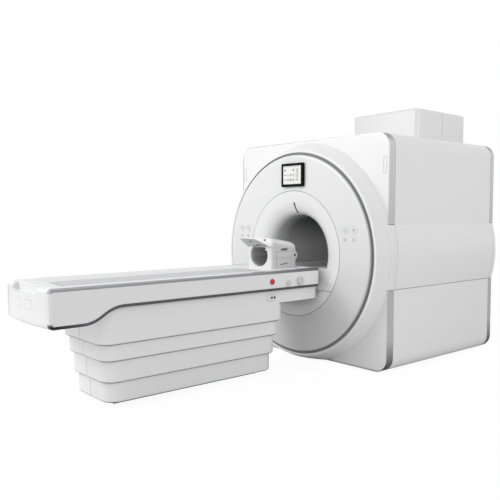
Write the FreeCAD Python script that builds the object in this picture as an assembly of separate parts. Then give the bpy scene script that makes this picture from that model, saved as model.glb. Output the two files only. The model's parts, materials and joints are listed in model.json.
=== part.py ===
import FreeCAD, Part
import math
import os

from FreeCAD import Vector

# Whole-body scanner: a bore magnet in its covers with a lifting patient table docked in front.
# Millimetres. X runs across, Y along the bore (the table lies towards -Y), Z up from the floor.
# The origin lies on the floor, straight below the middle of the bore.

# ---- clearances -------------------------------------------------------------------------------
seat_gap = 0.3
seam_gap = 4.0
running_gap = 5.0
shaft_clearance = 0.05
overshoot = 20.0
tolerance = 0.01

# ---- magnet housing ---------------------------------------------------------------------------
housing_width = 1960.0
housing_height = 2120.0
housing_depth = 1750.0
ground_gap = 10.0
corner_radius = 130.0
cover_wall = 6.0
bore_drop = 30.0
bulge_proud = 41.0
front_trim_width = 85.0
rear_trim_width = 66.0
trim_edge_radius = 4.0
roof_seam_inset = 130.0
skirt_seam_inset = 180.0
latch_size = (36.0, 150.0)
latch_inset = (44.0, 288.0)
latch_depth = 5.0
latch_corner = 12.0
bulkhead_thickness = 12.0
rail_width = 40.0
rail_lift = 60.0

# ---- round front: cone, groove, fascia and bore flare -------------------------------------------
lip_y = -1045.0
lip_side_margin = 33.0
lip_top_margin = 102.0
lip_width = 26.0
lip_depth = 10.0
lip_edge_radius = 4.0
cone_side_margin = 11.0
cone_top_margin = 28.0
front_wall = 8.0
groove_width = 19.0
seal_depth = 10.0
fascia_y = -1071.0
fascia_width = 343.0
fascia_edge_radius = 25.0
fascia_back_y = -1030.0
throat_growth = 20.0
flare_depth = 130.0
flare_flange = 22.0
flare_seam_drop = 325.0
throat_end_y = -760.0
bore_radius = 350.0
bore_wall = 8.0
rear_flare_growth = 170.0
rear_flare_depth = 90.0
light_width = 20.0
light_depth = 3.0
light_angles = (22.0, 62.0)

# ---- display and controls on the fascia ----------------------------------------------------------
display_size = (290.0, 222.0)
display_shift = 12.0
display_drop = 194.0
display_depth = 26.0
display_corner = 10.0
display_border = 16.0
screen_depth = 3.0
key_inset_inner = 283.0
key_inset_outer = 183.0
key_rise = 238.0
lamp_rise = 154.0
key_radius = 30.0
key_proud = 5.0
key_depth = 12.0
key_edge_radius = 1.5
ring_width = 12.0
ring_proud = 3.0
lamp_radius = 18.0
lamp_proud = 2.0
lamp_edge_radius = 1.6

# ---- magnet inside the housing -------------------------------------------------------------------
vessel_side_space = 121.0
vessel_roof_space = 190.0
vessel_half_length = 740.0
vessel_wall = 12.0
outer_shield_space = 80.0
inner_shield_space = 70.0
helium_half_length = 640.0
helium_wall = 8.0
coil_positions = (-520.0, -300.0, -100.0, 100.0, 300.0, 520.0)
coil_widths = (110.0, 70.0, 50.0, 50.0, 70.0, 110.0)
coil_height = 60.0
post_radius = 22.0
post_angles = (45.0, 135.0, 225.0, 315.0)
gradient_thickness = 84.7
gradient_half_length = 640.0
body_coil_gap = 4.0
body_coil_thickness = 22.7
body_coil_half_length = 320.0
rung_count = 16
rung_width = 26.0
end_ring_width = 40.0
foot_positions = (-450.0, 450.0)
foot_thickness = 60.0
foot_half_width = 620.0
sole_half_width = 760.0
sole_width = 220.0
sole_thickness = 20.0
keel_half_width = 120.0
anchor_radius = 11.0
magnet_anchor_spacing = (1400.0, 900.0)
neck_radius = 130.0
neck_rise = 65.0
cold_head_centre = (230.0, 330.0)
cold_head_height = 280.0
cold_flange_inset = 13.0
cold_flange_thickness = 30.0
cold_barrel_radius = 58.5
cold_cap_radius = 78.0
cold_cap_length = 60.0

# ---- service turret on the roof ------------------------------------------------------------------
turret_x = (-178.0, 647.0)
turret_y = (6.0, 866.0)
turret_height = 335.0
turret_corner = 45.0
turret_edge = 28.0

# ---- bridge through the bore ---------------------------------------------------------------------
bridge_drop = 12.0
bridge_wall = 8.0
bridge_front_y = -1060.0
bridge_rear_y = 870.0

# ---- patient table: levels are drops below its top, which lies below the bore's axis --------------
table_drop = 111.0
table_half_width = 385.0
table_foot_y = -3650.0
table_head_y = -1116.0
panel_high_drop = 169.0
panel_low_drop = 273.0
sweep_start_y = -3338.0
sweep_end_y = -3170.0
sweep_radius = 260.0
trim_border = 22.0
trim_thickness = 34.0
panel_thickness = 12.0
panel_inset = 2.0
trim_corner = 32.0
trim_round = 9.0
channel_half_width = 283.0
deck_wall = 6.0
track_drop = 57.0
track_height = 7.0
track_half_width = 60.0
track_centre = 180.0
slot_half_width = 14.0
slot_ends = (-3350.0, -1350.0)
beam_centre = 290.0
beam_size = (60.0, 90.0)
beam_wall = 6.0
chassis_drop = 207.0
crossbar_positions = (-3400.0, -2850.0, -2414.0, -1980.0, -1190.0)
crossbar_size = (80.0, 40.0)
chassis_foot_y = -3540.0
chassis_head_y = -1140.0
pan_thickness = 4.0
pan_foot_y = -3560.0
cap_length = 86.0
cap_bow = 30.0
cap_wall = 6.0
cap_edge = 30.0
recess_half_width = 225.0
recess_back_y = -3626.0
recess_drop = 53.0
hatch_size = (112.0, 64.0)
hatch_offset = 85.0
hatch_drop = 129.0
hatch_depth = 3.0
hatch_corner = 8.0
hatch_gap = 3.0

# ---- patient board, mattress ---------------------------------------------------------------------
board_foot_y = -3556.0
board_head_y = -1122.0
board_floor_thickness = 25.7
board_rim_rise = 3.0
board_rim_width = 10.0
board_rim_radius = 4.0
board_floor_half_width = 190.0
board_edge_radius = 14.0
board_end_lip = 40.0
board_dish_radius = 40.0
mattress_foot_y = -3430.0
mattress_head_y = -1580.0
mattress_thickness = 18.0
mattress_half_width = 176.0
mattress_crown = 5.0
mattress_side_radius = 7.0
mattress_sink = 0.5
mattress_end_radius = 60.0
mattress_channel_depth = 4.0
mattress_channel_radius = 12.0
mattress_channels = (-3060.0, -2690.0, -2320.0, -1950.0)

# ---- lifting base and shrouds --------------------------------------------------------------------
shroud_wall = 4.0
shroud_foot_y = -3264.0
shroud_head_y = -1490.0
shroud_half_width = 350.0
shroud_step_x = 21.0
shroud_step_y = 27.0
shroud_corner = 112.0
shroud_roll = 16.0
shroud_top_drop = 153.0
shroud_bottoms = (477.0, 352.0, 190.0, 37.0)
inner_shroud_tops = (560.0, 410.0, 255.0)
shroud_split = 5.0
nose_drop = 291.0
nose_head_y = -1092.0
nose_corner = 40.0
base_half_width = 170.0
base_foot_y = -3080.0
base_head_y = -1700.0
base_thickness = 20.0
table_anchor_radius = 7.0
table_anchor_spacing = (280.0, 1200.0)
column_positions = (-2850.0, -1980.0)
column_size = (150.0, 110.0)
column_wall = 8.0
column_gap = 0.3
column_tops = (285.0, 485.0)
column_bottoms = (225.0, 425.0)
column_flange = (190.0, 150.0, 12.0)
ear_positions = (-3000.0, -1830.0)
ear_width = 60.0
ear_heights = (60.0, 100.0)
lift_motor_size = (120.0, 200.0, 110.0)
lift_motor_corner = 12.0
lift_shaft_radius = 12.0
pad_height = 30.0
pad_width = 60.0

# ---- controls on the table side: positions along the table and drops below its top ----------------
stop_place = (-1689.0, 88.0)
stop_radius = 25.0
stop_collar_radius = 31.0
stop_proud = 16.0
stop_travel = 4.0
stop_collar_height = 6.0
stop_edge_radius = 7.0
knob_places = ((-1496.0, 114.0), (-1354.0, 101.0))
knob_radii = (26.0, 37.0)
knob_proud = (16.0, 26.0)
knob_shaft_radius = 8.0
knob_edge_radius = 4.0
knob_rib = (6.0, 3.0)
socket_plate_size = (110.0, 66.0)
socket_plate_corner = 12.0
socket_plate_place = (-1666.0, 231.0)
socket_plate_proud = 4.0
socket_positions = (-1661.0, -1630.0)
socket_radius = 9.0

# ---- board drive ---------------------------------------------------------------------------------
pulley_radius = 28.0
pulley_width = 26.0
pulley_drop = 119.0
pulley_shaft_radius = 8.0
belt_thickness = 3.0
drive_pulley_y = -3400.0
idler_pulley_y = -1190.0
motor_radius = 42.0
motor_length = 130.0
cheek_thickness = 8.0
cheek_half_length = 30.0
carriage_y = -3300.0
carriage_half_length = 40.0
carriage_half_width = 10.0

# ---- head coil: levels are rises above its underside ----------------------------------------------
coil_foot_y = -1500.0
coil_length = 313.0
coil_half_width = 168.0
coil_split_rise = 176.7
coil_foot_rise = 306.7
coil_head_rise = 258.7
coil_corner = 70.0
coil_foot_round = 35.0
coil_head_round = 80.0
coil_head_crest = 0.5
coil_plan_round = 20.0
coil_side_wall = 50.0
coil_bore_half_height = 103.0
coil_bore_rise = 142.7
coil_wall = 16.0
coil_line_rise = 119.7
coil_line_width = 2.0
coil_groove_setback = 63.0
coil_groove_width = 3.0
coil_groove_depth = 2.0
window_setback = 109.0
window_size = (104.0, 24.0)
window_rise = 7.0
window_lean = 18.0
slot_setback = 115.0
slot_size = (92.0, 13.0)
slot_rise = 51.7
slot_slope = 11.0
window_corner = 4.0
window_depth = 10.0
hinge_setback = 20.0
hinge_lug_radius = 36.0
hinge_pocket_radius = 40.0
hinge_arm_inset = 18.0
hinge_arm_width = 27.0
hinge_barrel_radius = 13.0
hinge_pin_radius = 5.0
hinge_pin_root = 4.0
hinge_cap_radius = 9.0
hinge_cap_height = 4.0
brim_reach = 150.0
brim_rise = 80.0
brim_root_rise = 219.7
brim_root_half_width = 166.0
brim_tip_half_width = 100.0
brim_root_corner = 10.0
brim_tip_corner = 35.0
brim_embed = 12.0
brim_thickness = 8.0
brim_hole_radius = 11.0
brim_hole_reach = 100.0
latch_radius = 9.0
latch_setback = 15.0
latch_rise = 19.0
latch_end_inset = 20.0
latch_length = 72.0
latch_travel = 8.0

# ---- sizes that follow from those above ----------------------------------------------------------
half_width = housing_width / 2
front_y = -housing_depth / 2
rear_y = housing_depth / 2
bore_height = housing_height / 2 - bore_drop
roof_rise = housing_height - bore_height
bulge_radius = half_width + bulge_proud
bulge_half_height = math.sqrt(bulge_radius**2 - half_width**2)
seam_height = bore_height - bulge_half_height
front_trim_y = front_y + front_trim_width
rear_trim_y = rear_y - rear_trim_width
roof_half_width = half_width - roof_seam_inset
skirt_half_width = half_width - skirt_seam_inset
latch_centre = (half_width - latch_inset[0], housing_height - latch_inset[1])
lip_outer_radius = min(bulge_radius - lip_side_margin, roof_rise - lip_top_margin)
lip_inner_radius = lip_outer_radius - lip_width
cone_half_width = bulge_radius - cone_side_margin
cone_half_height = roof_rise - cone_top_margin
fascia_radius = lip_inner_radius - groove_width
flare_radius = fascia_radius - fascia_width
flare_throat_radius = bore_radius + throat_growth
flare_seam_height = bore_height - flare_seam_drop
rear_flare_radius = bore_radius + rear_flare_growth
display_centre = (display_shift, bore_height + fascia_radius - display_drop)
key_columns = (fascia_radius - key_inset_inner, fascia_radius - key_inset_outer)
key_row = bore_height + key_rise
lamp_row = bore_height + lamp_rise
body_coil_inner_radius = bore_radius + bore_wall + body_coil_gap
gradient_inner_radius = body_coil_inner_radius + body_coil_thickness + seat_gap
vessel_inner_radius = gradient_inner_radius + gradient_thickness + seat_gap
vessel_radius = min(bulge_radius - vessel_side_space, roof_rise - vessel_roof_space)
helium_inner_radius = vessel_inner_radius + inner_shield_space
helium_radius = vessel_radius - outer_shield_space
neck_top = housing_height + neck_rise
cold_head_top = housing_height + cold_head_height
turret_top = housing_height + turret_height
table_top = bore_height - table_drop
panel_high = table_top - panel_high_drop
panel_low = table_top - panel_low_drop
panel_outer_x = table_half_width - panel_inset
cap_half_width = table_half_width - trim_thickness - seat_gap
deck_foot_y = table_foot_y + cap_length
bridge_top = table_top - bridge_drop
track_top = table_top - track_drop
chassis_low = table_top - chassis_drop
beam_inner = beam_centre - beam_size[0] / 2
beam_outer = beam_centre + beam_size[0] / 2
beam_top = chassis_low + beam_size[1]
recess_low = table_top - recess_drop
hatch_height = table_top - hatch_drop
pulley_height = table_top - pulley_drop
board_bottom = track_top + seat_gap
board_floor = board_bottom + board_floor_thickness
board_rim_height = table_top + board_rim_rise
shroud_tops = (table_top - shroud_top_drop, *inner_shroud_tops)
nose_low = table_top - nose_drop
stop_centre = (stop_place[0], table_top - stop_place[1])
knob_centres = [(y, table_top - drop) for y, drop in knob_places]
socket_plate_centre = (socket_plate_place[0], table_top - socket_plate_place[1])
coil_low = board_floor + seat_gap
coil_head_y = coil_foot_y + coil_length
coil_split = coil_low + coil_split_rise
coil_foot_top = coil_low + coil_foot_rise
coil_head_top = coil_low + coil_head_rise
coil_bore_half_width = coil_half_width - coil_side_wall
coil_bore_height = coil_low + coil_bore_rise
coil_hinge_y = coil_head_y - hinge_setback
coil_hinge_height = coil_split - hinge_lug_radius
hinge_arm_outer = coil_half_width - hinge_arm_inset
hinge_arm_inner = hinge_arm_outer - hinge_arm_width
latch_y = coil_foot_y + latch_setback
latch_height = coil_split + latch_rise
latch_end = coil_half_width - latch_end_inset
axis_of = {"x": Vector(1, 0, 0), "y": Vector(0, 1, 0), "z": Vector(0, 0, 1)}
bore_axis = (Vector(0, 0, bore_height), axis_of["y"])


def point(axis, along, u, v):
    """A point on the plane that lies 'along' the axis, at (u, v) in that plane."""
    if axis == "x":
        return Vector(along, u, v)
    if axis == "y":
        return Vector(u, along, v)
    return Vector(u, v, along)


def outline(axis, along, corners):
    """A closed wire through corners (u, v, radius), each rounded to its radius."""
    ends = []
    count = len(corners)
    for index, (u, v, radius) in enumerate(corners):
        here = point(axis, along, u, v)
        back = point(axis, along, *corners[index - 1][:2]) - here
        ahead = point(axis, along, *corners[(index + 1) % count][:2]) - here
        back.normalize()
        ahead.normalize()
        if radius == 0:
            ends.append((here, None, here))
            continue
        half = back.getAngle(ahead) / 2
        reach = radius / math.tan(half)
        middle = back + ahead
        middle.normalize()
        crest = here + middle * (radius / math.sin(half) - radius)
        ends.append((here + back * reach, crest, here + ahead * reach))
    edges = []
    for index, (start, crest, finish) in enumerate(ends):
        if crest is not None:
            edges.append(Part.Arc(start, crest, finish).toShape())
        next_start = ends[(index + 1) % count][0]
        if finish.distanceToPoint(next_start) > 1e-6:
            edges.append(Part.makeLine(finish, next_start))
    return Part.Wire(edges)


def plate(axis, start, end, corners):
    """A flat plate between two planes across an axis, with rounded corners."""
    face = Part.Face(outline(axis, start, corners))
    return face.extrude(axis_of[axis] * (end - start))


def oblong(u0, u1, v0, v1, radius=0.0):
    return [(u0, v0, radius), (u1, v0, radius), (u1, v1, radius), (u0, v1, radius)]


def around(centre, size, radius=0.0):
    u, v = centre
    return oblong(u - size[0] / 2, u + size[0] / 2, v - size[1] / 2, v + size[1] / 2, radius)


def block(x0, x1, y0, y1, z0, z1):
    return Part.makeBox(x1 - x0, y1 - y0, z1 - z0, Vector(x0, y0, z0))


def rod(axis, radius, start, end, u, v):
    return Part.makeCylinder(radius, end - start, point(axis, start, u, v), axis_of[axis])


def ring(outer, inner, y0, y1):
    """A ring about the bore's axis."""
    solid = rod("y", outer, y0, y1, 0, bore_height)
    return solid.cut(rod("y", inner, y0 - overshoot, y1 + overshoot, 0, bore_height))


def turned(wire):
    """A wire in the horizontal plane through the bore's axis, turned about that axis."""
    return Part.Face(wire).revolve(bore_axis[0], bore_axis[1], 360)


def mirrored(shape):
    return shape.mirror(Vector(0, 0, 0), axis_of["x"])


def both_sides(shape):
    return shape.fuse(mirrored(shape))


def joined(shapes):
    result = shapes[0]
    for shape in shapes[1:]:
        result = result.fuse(shape)
    return result.removeSplitter()


def edges_at(shape, axis, place):
    """The edges of a shape that lie in one plane across an axis."""
    found = []
    for edge in shape.Edges:
        box = edge.BoundBox
        ends = {"x": (box.XMin, box.XMax), "y": (box.YMin, box.YMax), "z": (box.ZMin, box.ZMax)}[axis]
        if abs(ends[0] - place) < tolerance and abs(ends[1] - place) < tolerance:
            found.append(edge)
    return found


def eased(shape, axis, place, radius):
    """A shape whose edges in one plane across an axis are rounded."""
    return shape.makeFillet(radius, edges_at(shape, axis, place))


def save(name, shape):
    """One file for each piece; a piece in two halves holds two solids."""
    solids = shape.Solids
    kept = solids[0] if len(solids) == 1 else Part.makeCompound(solids)
    kept.exportStep("parts/" + name + ".step")
    print(f"{name:24s} solids {len(solids):2d} valid {kept.isValid()} litres {kept.Volume / 1e6:9.3f}")


# ---- magnet and its supports ---------------------------------------------------------------------
def magnet_feet():
    pieces = []
    for y in foot_positions:
        web = block(-foot_half_width, foot_half_width, y - foot_thickness / 2,
                    y + foot_thickness / 2, 0, bore_height)
        sole = block(-sole_half_width, sole_half_width, y - sole_width / 2,
                     y + sole_width / 2, 0, sole_thickness)
        pieces += [web, sole]
    pieces.append(block(-keel_half_width, keel_half_width, foot_positions[0], foot_positions[1],
                        0, sole_thickness))
    feet = joined(pieces)
    feet = feet.cut(rod("y", vessel_radius + seat_gap, front_y, rear_y, 0, bore_height))
    across, along = magnet_anchor_spacing
    for x in (-across / 2, across / 2):
        for y in (-along / 2, along / 2):
            feet = feet.cut(rod("z", anchor_radius, -overshoot, sole_thickness + overshoot, x, y))
    return feet


def closed_ring_vessel(outer, inner, half_length, wall):
    body = ring(outer, inner, -half_length, half_length)
    return body.cut(ring(outer - wall, inner + wall, -half_length + wall, half_length - wall))


def cryostat_vessel():
    vessel = closed_ring_vessel(vessel_radius, vessel_inner_radius, vessel_half_length, vessel_wall)
    x, y = cold_head_centre
    low = bore_height + math.sqrt(vessel_radius**2 - (abs(x) + neck_radius)**2) - vessel_wall / 2
    neck = rod("z", neck_radius, low, neck_top, x, y)
    neck = neck.cut(rod("y", vessel_radius - vessel_wall, front_y, rear_y, 0, bore_height))
    return joined([vessel, neck])


def helium_vessel():
    vessel = closed_ring_vessel(helium_radius, helium_inner_radius, helium_half_length, helium_wall)
    reach = vessel_radius - vessel_wall - seat_gap
    posts = []
    for turn in post_angles:
        post = rod("z", post_radius, helium_radius - helium_wall / 2, reach, 0, 0)
        post = post.common(rod("y", reach, -overshoot * 2, overshoot * 2, 0, 0))
        post.rotate(Vector(0, 0, 0), axis_of["y"], turn)
        post.translate(Vector(0, 0, bore_height))
        posts.append(post)
    return joined([vessel] + posts)


def magnet_coils():
    inner = helium_inner_radius + helium_wall + seat_gap
    coils = [ring(inner + coil_height, inner, y - width / 2, y + width / 2)
             for y, width in zip(coil_positions, coil_widths)]
    return Part.makeCompound(coils)


def gradient_coil():
    return ring(vessel_inner_radius - seat_gap, gradient_inner_radius,
                -gradient_half_length, gradient_half_length)


def body_coil():
    outer = gradient_inner_radius - seat_gap
    half = body_coil_half_length
    ends = [ring(outer, body_coil_inner_radius, -half, -half + end_ring_width),
            ring(outer, body_coil_inner_radius, half - end_ring_width, half)]
    sleeve = ring(outer, body_coil_inner_radius, -half, half)
    rungs = []
    for index in range(rung_count // 2):
        slab = block(-rung_width / 2, rung_width / 2, -half, half, -outer - overshoot, outer + overshoot)
        slab.rotate(Vector(0, 0, 0), axis_of["y"], 360.0 * index / rung_count)
        slab.translate(Vector(0, 0, bore_height))
        rungs.append(sleeve.common(slab))
    return joined(ends + rungs)


def bore_liner():
    reach = -throat_end_y - seat_gap
    return ring(bore_radius + bore_wall, bore_radius, -reach, reach)


def cold_head():
    x, y = cold_head_centre
    cap_low = cold_head_top - cold_cap_length
    flange = rod("z", neck_radius - cold_flange_inset, neck_top, neck_top + cold_flange_thickness, x, y)
    barrel = rod("z", cold_barrel_radius, neck_top, cap_low, x, y)
    cap = rod("z", cold_cap_radius, cap_low, cold_head_top, x, y)
    return joined([flange, barrel, cap])


# ---- covers of the magnet ------------------------------------------------------------------------
def housing(inset, y0, y1):
    """The covers' outer form between two planes, drawn in by an inset: a box with round edges,
    and the barrel that swells out of its sides."""
    low, high = ground_gap + inset, housing_height - inset
    box = plate("y", y0, y1, oblong(inset - half_width, half_width - inset, low, high, corner_radius - inset))
    barrel = rod("y", bulge_radius - inset, y0, y1, 0, bore_height)
    barrel = barrel.common(block(-housing_width, housing_width, y0, y1, low, high))
    return box.fuse(barrel).removeSplitter()


def cover_frame():
    """A bulkhead at each end holds the covers off the magnet's vessel."""
    bulkheads = []
    for y in (front_trim_y, rear_trim_y):
        start, end = y - bulkhead_thickness / 2, y + bulkhead_thickness / 2
        sheet = housing(cover_wall + seat_gap, start, end)
        opening = rod("y", vessel_radius + seat_gap, start - overshoot, end + overshoot, 0, bore_height)
        bulkheads.append(sheet.cut(opening))
    low = ground_gap + rail_lift
    rail = block(skirt_half_width - rail_width / 2, skirt_half_width + rail_width / 2,
                 front_trim_y, rear_trim_y, low, low + rail_width)
    return joined(bulkheads + [both_sides(rail)])


def cover_shell(y0, y1):
    return housing(0, y0, y1).cut(housing(cover_wall, y0 - overshoot, y1 + overshoot))


def long_covers():
    """Side, skirt and roof covers between the two edge trims."""
    y0 = front_trim_y + seam_gap / 2
    y1 = rear_trim_y - seam_gap / 2
    shell = cover_shell(y0, y1)
    outer = housing_width
    side = shell.common(block(roof_half_width + seam_gap / 2, outer, y0, y1,
                              seam_height + seam_gap / 2, housing_height))
    skirt = shell.common(block(skirt_half_width, outer, y0, y1, 0, seam_height - seam_gap / 2))
    roof = shell.common(block(seam_gap / 2 - roof_half_width, roof_half_width - seam_gap / 2, y0, y1,
                              housing_height - corner_radius, housing_height))
    x, y = cold_head_centre
    roof = roof.cut(rod("z", neck_radius + seat_gap, bore_height, housing_height + overshoot, x, y))
    return both_sides(side), both_sides(skirt), roof


def side_gap_zone(y0, y1, margin):
    """The strip of both sides that the barrel fills, where the edge trims stop."""
    reach = bulge_half_height + margin
    zone = block(half_width - corner_radius, housing_width, y0, y1,
                 bore_height - reach, bore_height + reach)
    return both_sides(zone)


def edge_trims(y0, y1, rounded_y):
    """The metal band round one end of the covers, in an upper and a lower length."""
    band = plate("y", y0, y1, oblong(-half_width, half_width, ground_gap, housing_height, corner_radius))
    band = eased(band, "y", rounded_y, trim_edge_radius)
    inner = plate("y", y0 - overshoot, y1 + overshoot,
                  oblong(cover_wall - half_width, half_width - cover_wall, ground_gap + cover_wall,
                         housing_height - cover_wall, corner_radius - cover_wall))
    return band.cut(inner).cut(side_gap_zone(y0 - overshoot, y1 + overshoot, seam_gap / 2))


def oval(y, half_x, half_z):
    """An upright oval across the bore's axis that starts at its top."""
    centre = Vector(0, y, bore_height)
    curve = Part.Ellipse(centre + Vector(0, 0, half_z), centre + Vector(half_x, 0, 0), centre)
    return Part.Wire([curve.toShape()])


def round_at(y, radius):
    centre = Vector(0, y, bore_height)
    curve = Part.Circle(centre + Vector(0, 0, radius), centre + Vector(radius, 0, 0),
                        centre - Vector(0, 0, radius))
    return Part.Wire([curve.toShape()])


def cone_solid(y0, y1, inset):
    """The solid cone behind the lip, which turns from round to oval towards the front panel."""
    wires = [round_at(y0, lip_outer_radius - inset),
             oval(y1, cone_half_width - inset, cone_half_height - inset)]
    return Part.makeLoft(wires, True, True)


def barrel_wrap(y0, y1, rounded_y):
    """The end of the side barrel, between the two lengths of edge trim."""
    barrel = rod("y", bulge_radius, y0, y1, 0, bore_height)
    barrel = eased(barrel, "y", rounded_y, front_wall)
    return barrel.common(side_gap_zone(y0, y1, -seam_gap / 2))


def panel_outline():
    inset = cover_wall + seat_gap
    return oblong(inset - half_width, half_width - inset, ground_gap + inset, housing_height - inset,
                  corner_radius - inset)


def front_cover():
    back_y = front_y + front_wall
    lip = rod("y", lip_outer_radius, lip_y, lip_y + lip_depth, 0, bore_height)
    lip = eased(lip, "y", lip_y, lip_edge_radius)
    cone = cone_solid(lip_y + lip_edge_radius, front_y, 0)
    panel = plate("y", front_y, back_y, panel_outline())
    band = Part.Face(oval(front_y, cone_half_width, cone_half_height)).extrude(Vector(0, front_wall, 0))
    wrap_start = front_y - front_wall
    wrap = barrel_wrap(wrap_start, front_trim_y - seam_gap / 2, wrap_start)
    wrap = wrap.cut(rod("y", bulge_radius - cover_wall, wrap_start + front_wall, front_trim_y, 0,
                        bore_height))
    body = joined([lip, cone, panel, band, wrap])
    hollow = cone_solid(lip_y + lip_depth, back_y + overshoot, front_wall)
    mouth = rod("y", lip_inner_radius, lip_y - overshoot, front_y, 0, bore_height)
    body = body.cut(hollow).cut(mouth)
    low = ground_gap + cover_wall + seat_gap
    body = body.common(block(-housing_width, housing_width, lip_y - overshoot, 0, low, housing_height))
    return body.cut(latch_grooves())


def latch_grooves():
    """The outline of a flush latch cover beside each upper edge of the front panel."""
    groove = plate("y", front_y - 1, front_y + latch_depth, around(latch_centre, latch_size, latch_corner))
    island_size = (latch_size[0] - seam_gap * 2, latch_size[1] - seam_gap * 2)
    island_corner = latch_corner - seam_gap / 2
    island = plate("y", front_y - 1, front_y + latch_depth, around(latch_centre, island_size, island_corner))
    return both_sides(groove.cut(island))


def rear_cover():
    start = rear_y - front_wall
    panel = plate("y", start, rear_y, panel_outline())
    wrap_start = rear_trim_y + seam_gap / 2
    wrap = barrel_wrap(wrap_start, rear_y, rear_y)
    wrap = wrap.cut(rod("y", bulge_radius - cover_wall, wrap_start - 1, start, 0, bore_height))
    body = joined([panel, wrap])
    mouth = rod("y", rear_flare_radius + seam_gap, start - 1, rear_y + overshoot, 0, bore_height)
    return body.cut(mouth)


def bezel_seal():
    return ring(lip_inner_radius - seat_gap, fascia_radius + seat_gap, lip_y + seal_depth, fascia_back_y)


def key_places():
    return {"right_outer": key_columns[1], "right_inner": key_columns[0],
            "left_inner": -key_columns[0], "left_outer": -key_columns[1]}


def front_fascia():
    """The round front plate, dished at its edge, with a collared hole for each key."""
    edge = fascia_edge_radius
    wall = front_wall
    inner = flare_radius + seam_gap / 2
    rim = fascia_radius - wall
    corners = [(inner, fascia_y, 0), (fascia_radius, fascia_y, edge), (fascia_radius, fascia_back_y, 0),
               (rim, fascia_back_y, 0), (rim, fascia_y + wall, edge - wall), (inner, fascia_y + wall, 0)]
    fascia = turned(outline("z", bore_height, corners))
    for x in key_places().values():
        fascia = fascia.fuse(rod("y", key_radius + ring_width, fascia_y - ring_proud, fascia_y, x, key_row))
        fascia = fascia.cut(rod("y", key_radius + seat_gap * 2, fascia_y - overshoot,
                                fascia_y + overshoot, x, key_row))
    return fascia.removeSplitter()


def flare_edge(rim, front, depth, throat, inset_radial, inset_axial):
    """A quarter oval from the throat of a flare to its rim, in the plane that is turned."""
    centre = Vector(rim, front + depth, bore_height)
    to_throat = centre - Vector(rim - throat - inset_radial, 0, 0)
    to_rim = centre - Vector(0, depth - inset_axial, 0)
    return Part.Ellipse(to_throat, to_rim, centre)


def flare(rim, front, depth, throat, end):
    """A flare shell: rim flange, quarter oval, and a slow taper down to the bore."""
    flange_front = front + front_wall + seat_gap
    flange_back = flange_front + cover_wall
    outer = flare_edge(rim, front, depth, throat, 0, 0)
    inner = flare_edge(rim, front, depth, throat, bore_wall, flange_back - front)
    line = lambda p, q: Part.makeLine(Vector(*p, bore_height), Vector(*q, bore_height))
    throat_y = front + depth
    edges = [
        Part.ArcOfEllipse(outer, 0, math.pi / 2).toShape(),
        line((rim, front), (rim, flange_front)),
        line((rim, flange_front), (rim + flare_flange, flange_front)),
        line((rim + flare_flange, flange_front), (rim + flare_flange, flange_back)),
        line((rim + flare_flange, flange_back), (rim, flange_back)),
        Part.ArcOfEllipse(inner, 0, math.pi / 2).toShape(),
        line((throat + bore_wall, throat_y), (bore_radius + bore_wall, end)),
        line((bore_radius + bore_wall, end), (bore_radius, end)),
        line((bore_radius, end), (throat, throat_y)),
    ]
    return turned(Part.Wire(Part.__sortEdges__(edges)))


def front_flare():
    rim = flare_radius - seam_gap / 2
    return flare(rim, fascia_y, flare_depth, flare_throat_radius, throat_end_y)


def light_strip():
    """The window strip let into the top of the flare, following its curve."""
    rim = flare_radius - seam_gap / 2
    outer = flare_edge(rim, fascia_y, flare_depth, flare_throat_radius, 0, 0)
    inner = flare_edge(rim, fascia_y, flare_depth, flare_throat_radius, light_depth, light_depth)
    low, high = (math.radians(angle) for angle in light_angles)
    edges = [
        Part.ArcOfEllipse(outer, low, high).toShape(),
        Part.makeLine(outer.value(high), inner.value(high)),
        Part.ArcOfEllipse(inner, low, high).toShape(),
        Part.makeLine(inner.value(low), outer.value(low)),
    ]
    band = turned(Part.Wire(Part.__sortEdges__(edges)))
    top = bore_height + flare_radius
    return band.common(block(-light_width / 2, light_width / 2, fascia_y, 0, bore_height, top))


def funnels():
    shell = front_flare()
    reach = flare_radius + flare_flange + overshoot
    y0, y1 = fascia_y - 1, throat_end_y + 1
    upper = shell.common(block(-reach, reach, y0, y1, flare_seam_height + seam_gap / 2, bore_height + reach))
    lower = shell.common(block(-reach, reach, y0, y1, 0, flare_seam_height - seam_gap / 2))
    return upper.cut(light_strip()), lower


def rear_funnel():
    rim = rear_flare_radius
    shell = flare(rim, -rear_y, rear_flare_depth, flare_throat_radius, throat_end_y)
    return shell.mirror(Vector(0, 0, 0), axis_of["y"])


def flare_void(rim, front, depth, gap):
    """The clear space inside a flare, drawn in by a gap."""
    curve = flare_edge(rim - gap, front, depth, flare_throat_radius - gap, 0, 0)
    line = lambda p, q: Part.makeLine(Vector(*p, bore_height), Vector(*q, bore_height))
    throat = (flare_throat_radius - gap, front + depth)
    bore = (bore_radius - gap, throat_end_y)
    middle = (bore_radius - gap, 0)
    edges = [Part.ArcOfEllipse(curve, 0, math.pi / 2).toShape(), line((0, front), (rim - gap, front)),
             line(throat, bore), line(bore, middle), line(middle, (0, 0)), line((0, 0), (0, front))]
    return turned(Part.Wire(Part.__sortEdges__(edges)))


def bore_void(gap):
    """The clear space from one flare through the bore to the other, drawn in by a gap."""
    front = flare_void(flare_radius - seam_gap / 2, fascia_y, flare_depth, gap)
    rear = flare_void(rear_flare_radius, -rear_y, rear_flare_depth, gap)
    return joined([front, rear.mirror(Vector(0, 0, 0), axis_of["y"])])


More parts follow.
